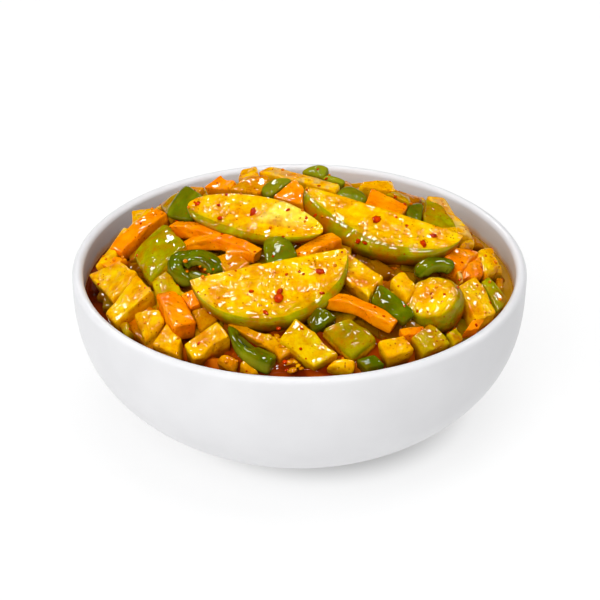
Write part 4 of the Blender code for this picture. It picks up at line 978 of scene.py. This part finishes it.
def mango_colours(tree, place):
    """Unripe mango turned yellow by turmeric: vivid flesh, deeper amber on the lower sides, partly from
    soaking and partly as painted shade, with the skin there painted very dark as shade, olive near the skin,
    green skin, a paler lump, partly paler flesh and partly painted light, and a pale dry streak on a few cut
    faces."""
    tone, bright, soak, olive, pale, covered = (
        add(tree, "Attribute", output="Fac", attribute_name=key)
        for key in ("tone", "bright", "soak", "olive", "pale", "skin")
    )
    bright, soak, olive = (
        add(tree, "Math", {0: share, 1: 0.75}, operation="MULTIPLY") for share in (bright, soak, olive)
    )
    cloud = add(
        tree, "TexNoise", {"Vector": place, "Scale": scale_of(6.67), "Detail": 5.0, "Roughness": 0.65}
    )
    colour = add(tree, "ValToRGB", {0: cloud}, [(0.30, "#E89400"), (0.50, "#FCBE00"), (0.70, "#FFDA04")])
    skin = add(tree, "ValToRGB", {0: cloud}, [(0.32, "#827A00"), (0.55, "#9E9600"), (0.75, "#B6AC0A")])
    # The skin on the lower sides is painted very dark: partly soaking, partly painted shade.
    skin = add(tree, "Mix", {0: soak, 6: skin, 7: "#2E2600"}, data_type="RGBA")
    streak = add(tree, "TexNoise", {"Vector": place, "Scale": scale_of(3.85), "Detail": 3.0})
    streak = add(tree, "ValToRGB", {0: streak}, [(0.42, 0.0), (0.56, 0.8)])
    pale = add(tree, "Math", {0: pale, 1: streak}, operation="MULTIPLY")
    covered = add(tree, "ValToRGB", {0: covered}, [(0.25, 0.0), (0.75, 1.0)])
    for share, over in (
        (tone, "#C87400"),
        # Painted light: the lump is painted paler yellow, partly as paler flesh and partly as the light on
        # its raised face.
        (bright, "#FFE848"),
        # Deeper orange on the lower sides: partly soaking, partly painted shade.
        (soak, "#D07000"),
        (olive, skin),
        (pale, "#D4B464"),
        (covered, skin),
    ):
        colour = add(tree, "Mix", {0: share, 6: colour, 7: over}, data_type="RGBA")
    return colour


def carrot_colours(tree, place):
    """Carrot: strong orange, a little lighter in patches."""
    cloud = add(tree, "TexNoise", {"Vector": place, "Scale": scale_of(7.69), "Detail": 4.0})
    return add(tree, "ValToRGB", {0: cloud}, [(0.30, "#FF8000"), (0.52, "#FF9200"), (0.72, "#FFA404")])


def chilli_colours(tree, place):
    """Green chilli: deep green, a little lighter in patches, paler at cut rims, and painted shade inside the
    opening of a pod.
    """
    pale, rim, hollow = (
        add(tree, "Attribute", output="Fac", attribute_name=key) for key in ("pale", "rim", "hollow")
    )
    cloud = add(tree, "TexNoise", {"Vector": place, "Scale": scale_of(7.14), "Detail": 3.0})
    colour = add(tree, "ValToRGB", {0: cloud}, [(0.30, "#404C00"), (0.52, "#586600"), (0.75, "#7A8204")])
    rim = add(tree, "Math", {0: rim, 1: 0.4}, operation="MULTIPLY")
    # 2C3800 is painted shade inside the pod's opening.
    for share, over in ((pale, "#A8A818"), (rim, "#A8A820"), (hollow, "#2C3800")):
        colour = add(tree, "Mix", {0: share, 6: colour, 7: over}, data_type="RGBA")
    return colour


def plain_material(name, stops, size, roughness, coat, bump, detail=4.0, over=None):
    """A finish of mottled colour: a noise of that size in mm runs through the stops and lifts the surface.

    over(tree, place, colour), if given, lays something more over that colour.
    """
    made, tree = new_material(name)
    place = add(tree, "TexCoord", output="Object")
    cloud = add(tree, "TexNoise", {"Vector": place, "Scale": scale_of(size), "Detail": detail})
    colour = add(tree, "ValToRGB", {0: cloud}, stops)
    shader = add(
        tree,
        "BsdfPrincipled",
        {
            "Base Color": over(tree, place, colour) if over else colour,
            "Roughness": roughness,
            "Normal": add(tree, "Bump", {"Strength": bump, "Distance": 0.6 * MM, "Height": cloud}),
            "Specular IOR Level": 0.0,
            "Coat Weight": coat,
            "Coat Roughness": 0.05,
        },
    )
    add(tree, "OutputMaterial", {0: shader})
    return made


def thin_at_right(tree, place, colour):
    """The oil's colour, which turns amber at the right, where the oil lies thin on the white wall."""
    across = add(tree, "SeparateXYZ", {0: place}, output="X")
    thin = add(tree, "MapRange", {0: across, 1: 30 * MM, 2: 55 * MM, 3: 0.0, 4: 0.9})
    return add(tree, "Mix", {0: thin, 6: colour, 7: "#C08A10"}, data_type="RGBA")


def glazed_stoneware():
    """White stoneware under a clear glaze: almost plain, with faint waves, painted a little lighter inside as
    painted light, and a film of oil low inside that is partly painted light reflected from the food.
    """
    made, tree = new_material("white_glazed_stoneware")
    place = add(tree, "TexCoord", output="Object")
    inside = add(tree, "Attribute", output="Fac", attribute_name="inside")
    height = add(tree, "SeparateXYZ", {0: place}, output="Z")
    wave = add(tree, "TexNoise", {"Vector": place, "Scale": scale_of(11.1), "Detail": 3.0})
    level = add(tree, "Math", {0: wave, 1: 6 * MM, 2: height}, operation="MULTIPLY_ADD")
    # The tan film low inside: partly oil on the glaze, partly painted light reflected from the food near the
    # wall.
    film = add(tree, "MapRange", {0: level, 1: 52.2 * MM, 2: 54.5 * MM, 3: 0.85, 4: 0.0})
    film = add(tree, "Math", {0: film, 1: inside}, operation="MULTIPLY")
    cloud = add(tree, "TexNoise", {"Vector": place, "Scale": scale_of(16.7), "Detail": 2.0})
    colour = add(tree, "ValToRGB", {0: cloud}, [(0.3, "#DADADC"), (0.7, "#DEDEE0")])
    # Painted light: #E2E0DE paints the inner wall lighter than the outside.
    for share, over in ((inside, "#E2E0DE"), (film, "#E4AC58")):
        colour = add(tree, "Mix", {0: share, 6: colour, 7: over}, data_type="RGBA")
    shader = add(
        tree,
        "BsdfPrincipled",
        {
            "Base Color": colour,
            "Roughness": 0.32,
            "Normal": add(tree, "Bump", {"Strength": 0.04, "Distance": 0.5 * MM, "Height": cloud}),
            "Specular IOR Level": 0.1,
            "Coat Weight": 0.05,
            "Coat Roughness": 0.15,
        },
    )
    add(tree, "OutputMaterial", {0: shader})
    return made


# Raw mango in turmeric oil: soft, wet flesh that lets a little light in, and smooth skin.
mango = wet_food(
    "raw_mango_in_spiced_oil", mango_colours,
    spice=0.6, specks=0.85, coat=0.5, depth=0.10, grain=2.083, lift=1.2
)
# Carrot in oil: denser and smoother than the mango.
carrot = wet_food(
    "carrot_in_spiced_oil", carrot_colours,
    spice=0.45, specks=0.8, coat=0.45, depth=0.12, grain=2.083, lift=1.0
)
# Green chilli in oil: waxy skin with clear highlights, which takes no light in.
chilli = wet_food(
    "green_chilli_in_spiced_oil", chilli_colours,
    spice=0.12, specks=0.5, coat=0.5, depth=0.0, grain=2.381, lift=0.7
)
# Dried red chilli flakes, soaked and glossy.
flake = plain_material("dried_chilli_flake", [(0.35, "#981C00"), (0.65, "#D83C00")], 1.67, 0.4, 0.15, 0.4)
# Split mustard and fenugreek seeds, soaked to orange.
seed = plain_material("soaked_mustard_seed", [(0.35, "#C86000"), (0.65, "#F09010")], 1.67, 0.3, 0.25, 0.3)
# Oil with ground chilli and turmeric in it: dark red-brown and mirror smooth, amber where it is thin.
oil = plain_material(
    "spiced_oil", [(0.30, "#3C0E00"), (0.55, "#6C2000"), (0.75, "#943C00")], 8.33, 0.06, 0.6, 0.15,
    over=thin_at_right,
)
# The wet masala between the pieces: fine, soft and uneven, so it shines in small spots.
masala = plain_material(
    "wet_masala", [(0.30, "#701E00"), (0.52, "#A23E00"), (0.72, "#C86608")], 5.88, 0.2, 0.5, 0.6, detail=0.5
)
# Glazed stoneware: white, with a soft shine.
glaze = glazed_stoneware()


# ---------------------------------------------------------------- the object

draw = np.random.default_rng(SEED)

piece("glazed_bowl", [bowl_part()], glaze, ("bowl",))
piece("oil_round_heap", [oil_part()], oil, ("oil",))
piece("masala_core", [core_part()], masala, ("achar_heap",))

wedges = [wedge_part(row, RIPPLE_SEEDS["wedge"] + i) for i, row in enumerate(MANGO_WEDGES)]
for row, made in zip(MANGO_WEDGES, wedges):
    piece(row[0] + "_cut", [made], mango, (row[0],))

round_mango = round_part(RIPPLE_SEEDS["round"])
piece("mango_round_cut", [round_mango], mango, ("mango_round_right",))

batons = []
for i, (name, path, width, thickness) in enumerate(CARROT_BATONS):
    shape = (path, width, thickness, BATON_SQUARENESS, BATON_BLUNTNESS, 0)
    made = swept_part(*shape, RIPPLE_SEEDS["baton"] + i, BATON_ROUGHNESS)
    batons.append(made)
    piece(name + "_cut", [made], carrot, (name,))

chillies = []
for i, (name, path, width, thickness, bluntness, narrow, opening) in enumerate(CHILLI_PIECES):
    shape = (path, width, thickness, CHILLI_SQUARENESS, bluntness, narrow)
    made = [swept_part(*shape, RIPPLE_SEEDS["chilli"] + i, CHILLI_ROUGHNESS, opening)]
    if name == "chilli_ring_left":
        for k, fold in enumerate(RING_FOLDS):
            shape = (*fold, FOLD_SQUARENESS, FOLD_BLUNTNESS, 0)
            made.append(swept_part(*shape, RIPPLE_SEEDS["fold"] + k, FOLD_ROUGHNESS))
    chillies += made
    piece(name + "_cut", made, chilli, (name,))
loose_flaps = []
for name, corners, thickness, square, rise, paler in FLAPS:
    made = cut_piece("chilli", corners, thickness, FLAP_SQUARENESS, draw, dome=rise, outline=square)
    made["values"]["pale"] = np.full(len(made["points"]), paler)
    chillies.append(made)
    if name:
        piece(name + "_cut", [made], chilli, (name,))
    else:
        loose_flaps.append(made)

slices = []
for name, kind, corners, height, square in SLICES:
    made = cut_piece(kind, corners, height, square, draw, dome=SLICE_DOME if kind == "skin" else 0.0)
    slices.append(made)
    piece(name + "_cut", [made], carrot if kind == "carrot" else mango, (name,))

# The heap's chunks, and those that a rule adds where it is still bare.
grouped = {"mango": [], "carrot": [], "chilli": loose_flaps}
for kind, corners, height, square in CHUNKS:
    dome = CHUNK_DOME if kind in ("skin", "chilli", "olive") else 0.0
    made = cut_piece(kind, corners, height, square, draw, dome=dome)
    grouped[kind if kind in grouped else "mango"].append(made)

for i, made in enumerate(set_out(CRUMBS, CRUMB_FLATNESS, draw)):
    made["values"]["tone"] = np.full(len(made["points"]), 0.9 if i % 3 else 0.5)
    grouped["mango"].append(made)

# The rule's places lie in rows set half a step off each other. Where a place has something over it, its chunk
# lies under that.
named = wedges + [round_mango] + batons + chillies + slices
taken = np.concatenate([made["points"][::9] for made in named + sum(grouped.values(), [])])
rows = int(FILL_REACH / FILL_SPACING) + 1
for i in range(-rows, rows + 1):
    for j in range(-rows, rows + 1):
        x = (j + 0.5 * (i % 2)) * FILL_SPACING + draw.uniform(-FILL_SHIFT, FILL_SHIFT)
        y = i * FILL_SPACING * FILL_ROW_RATIO + draw.uniform(-FILL_SHIFT, FILL_SHIFT)
        near = taken[np.hypot(taken[:, 0] - x, taken[:, 1] - y) < FILL_NEAR]
        seen = y < FILL_SEEN_LINE
        lift = draw.uniform(*FILL_LIFTS_SEEN) if seen else draw.uniform(*FILL_LIFTS_BEHIND) - back_fall(y)
        if len(near):
            lift = min(lift, near[:, 2].max() - heap_height(x, y) - FILL_UNDER)
        if math.hypot(x, y) > FILL_REACH or y < FRONT_LINE:
            continue
        kind = FILL_KINDS[int(draw.integers(len(FILL_KINDS)))]
        turn = draw.uniform(0, math.pi / 2)
        corners = []
        for k in range(4):
            angle = turn + (k + draw.uniform(-FILL_SKEW, FILL_SKEW)) * math.pi / 2
            far = draw.uniform(*FILL_HALF_WIDTHS)
            tilt = draw.uniform(-FILL_TILT, FILL_TILT)
            corners.append((x + far * math.cos(angle), y + far * math.sin(angle), lift + tilt))
        made = cut_piece(kind, corners, FILL_HEIGHT, FILL_SQUARENESS, draw, rings=14, sides=24)
        grouped[kind if kind in grouped else "mango"].append(made)
piece("mango_chunks", grouped["mango"], mango, ("achar_heap",))
piece("carrot_chunks", grouped["carrot"], carrot, ("achar_heap",))
piece("chilli_chunks", grouped["chilli"], chilli, ("achar_heap",))

# Flakes and seeds, scattered on all that looks up, then the listed ones.
hosts = wedges + batons + chillies + slices + [round_mango]
hosts += grouped["mango"] + grouped["carrot"] + grouped["chilli"]
spots, normals = scattered(FLAKE_COUNT, hosts, draw, LOOKS_UP)
flakes = [small_part(p, n, draw.uniform(*FLAKE_SIZES), FLAKE_FLATNESS, draw) for p, n in zip(spots, normals)]
for made in wedges:
    for p, n, size in made["flakes"]:
        flakes.append(small_part(p, n, size, WEDGE_FLAKE_FLATNESS, draw, sides=9))
flakes += set_out(LOOSE_FLAKES, LOOSE_FLAKE_FLATNESS, draw)
piece("chilli_flakes", flakes, flake, ())
spots, normals = scattered(SEED_COUNT, hosts, draw, LOOKS_UP)
seeds = [small_part(p, n, draw.uniform(*SEED_SIZES), SEED_FLATNESS, draw) for p, n in zip(spots, normals)]
seeds += set_out(POD_SEEDS, POD_SEED_FLATNESS, draw)
piece("mustard_seeds", seeds, seed, ())


# ---------------------------------------------------------------- floor, light and camera

floor_mesh = bpy.data.meshes.new("floor")
floor_mesh.from_pydata([(-3, -3, 0), (3, -3, 0), (3, 3, 0), (-3, 3, 0)], [], [(0, 1, 2, 3)])
floor = bpy.data.objects.new("floor", floor_mesh)
bpy.context.scene.collection.objects.link(floor)
# Matt white paper lit from behind, less so under the bowl and a little to its right: a painted shadow that
# starts where the two meet.
floor_finish, tree = new_material("white_paper_painted_shadow")
place = add(tree, "TexCoord", output="Object")
away = add(tree, "VectorMath", {0: place, 1: (8 * MM, 2 * MM, 0.0)}, output="Value", operation="DISTANCE")
glow_painted_shadow = add(
    tree, "MapRange", {0: away, 1: 36 * MM, 2: 58 * MM, 3: 0.25, 4: 0.68}, interpolation_type="SMOOTHSTEP"
)
shader = add(
    tree,
    "BsdfPrincipled",
    {
        "Base Color": "#949494",
        "Roughness": 0.9,
        "Specular IOR Level": 0.0,
        "Emission Color": "#FFFFFF",
        "Emission Strength": glow_painted_shadow,
    },
)
add(tree, "OutputMaterial", {0: shader})
floor_mesh.materials.append(floor_finish)

# The studio: white all round, brighter overhead, on the left low down and on the right higher up.
world = bpy.data.worlds.new("studio")
bpy.context.scene.world = world
world.use_nodes = True
world.cycles_visibility.glossy = False
tree = world.node_tree
look = add(tree, "TexCoord", output="Generated")
up = add(tree, "SeparateXYZ", {0: look}, output="Z")
right = add(tree, "SeparateXYZ", {0: look}, output="X")
above = add(tree, "Math", {0: up, 1: 0.58, 2: 0.20}, operation="MULTIPLY_ADD")
lean = add(tree, "Math", {0: up, 1: 0.9, 2: -0.38}, operation="MULTIPLY_ADD")
strength = add(tree, "Math", {0: right, 1: lean, 2: above}, operation="MULTIPLY_ADD")
tree.links.new(strength, tree.nodes["Background"].inputs["Strength"])
tree.nodes["Background"].inputs["Color"].default_value = linear("#FFFFFF")

# Studio lamps far off: name, the direction they stand in, irradiance in watts a square metre, how many
# degrees across they look, and whether they are for the wet highlights or for the light on the food.
LAMPS = (
    ("strip_back", (-0.25, 0.75, 0.62), 0.84, 8, True),
    ("strip_left", (-0.85, 0.30, 0.90), 1.40, 11, True),
    ("strip_top", (-0.05, 0.20, 1.0), 1.44, 12, True),
    ("strip_right", (0.70, 0.40, 0.75), 1.30, 11, True),
    ("strip_front", (0.20, -0.38, 1.0), 1.36, 12, True),
    ("key", (0.06, 0.0, 1.0), 0.72, 34, False),
    ("front_fill", (-0.42, -0.85, 0.80), 1.88, 50, False),
)
for name, place, power, across, highlight in LAMPS:
    light = bpy.data.lights.new(name, "SUN")
    light.angle = math.radians(across)
    light.energy = power
    lamp = bpy.data.objects.new(name, light)
    bpy.context.scene.collection.objects.link(lamp)
    lamp.location = place
    lamp.rotation_mode = "QUATERNION"
    lamp.rotation_quaternion = (-Vector(place)).to_track_quat("-Z", "Y")
    lamp.visible_glossy = highlight
    lamp.visible_diffuse = not highlight

# The photograph's view: 29.6 degrees above the horizon from 0.75 m, looking at a point 43.4 mm up.
ELEVATION = math.radians(29.635)
DISTANCE = 0.75
AIM = Vector((0, 0, 43.4 * MM))
FOCAL_LENGTH = 126.28
lens = bpy.data.cameras.new("camera")
lens.sensor_width = 36.0
lens.lens = FOCAL_LENGTH
lens.shift_x = 0.001
camera = bpy.data.objects.new("camera", lens)
bpy.context.scene.collection.objects.link(camera)
away = Vector((0, -math.cos(ELEVATION), math.sin(ELEVATION)))
camera.location = AIM + away * DISTANCE
camera.rotation_mode = "QUATERNION"
camera.rotation_quaternion = (-away).to_track_quat("-Z", "Y")
bpy.context.scene.camera = camera
bpy.context.scene.view_settings.view_transform = "Standard"
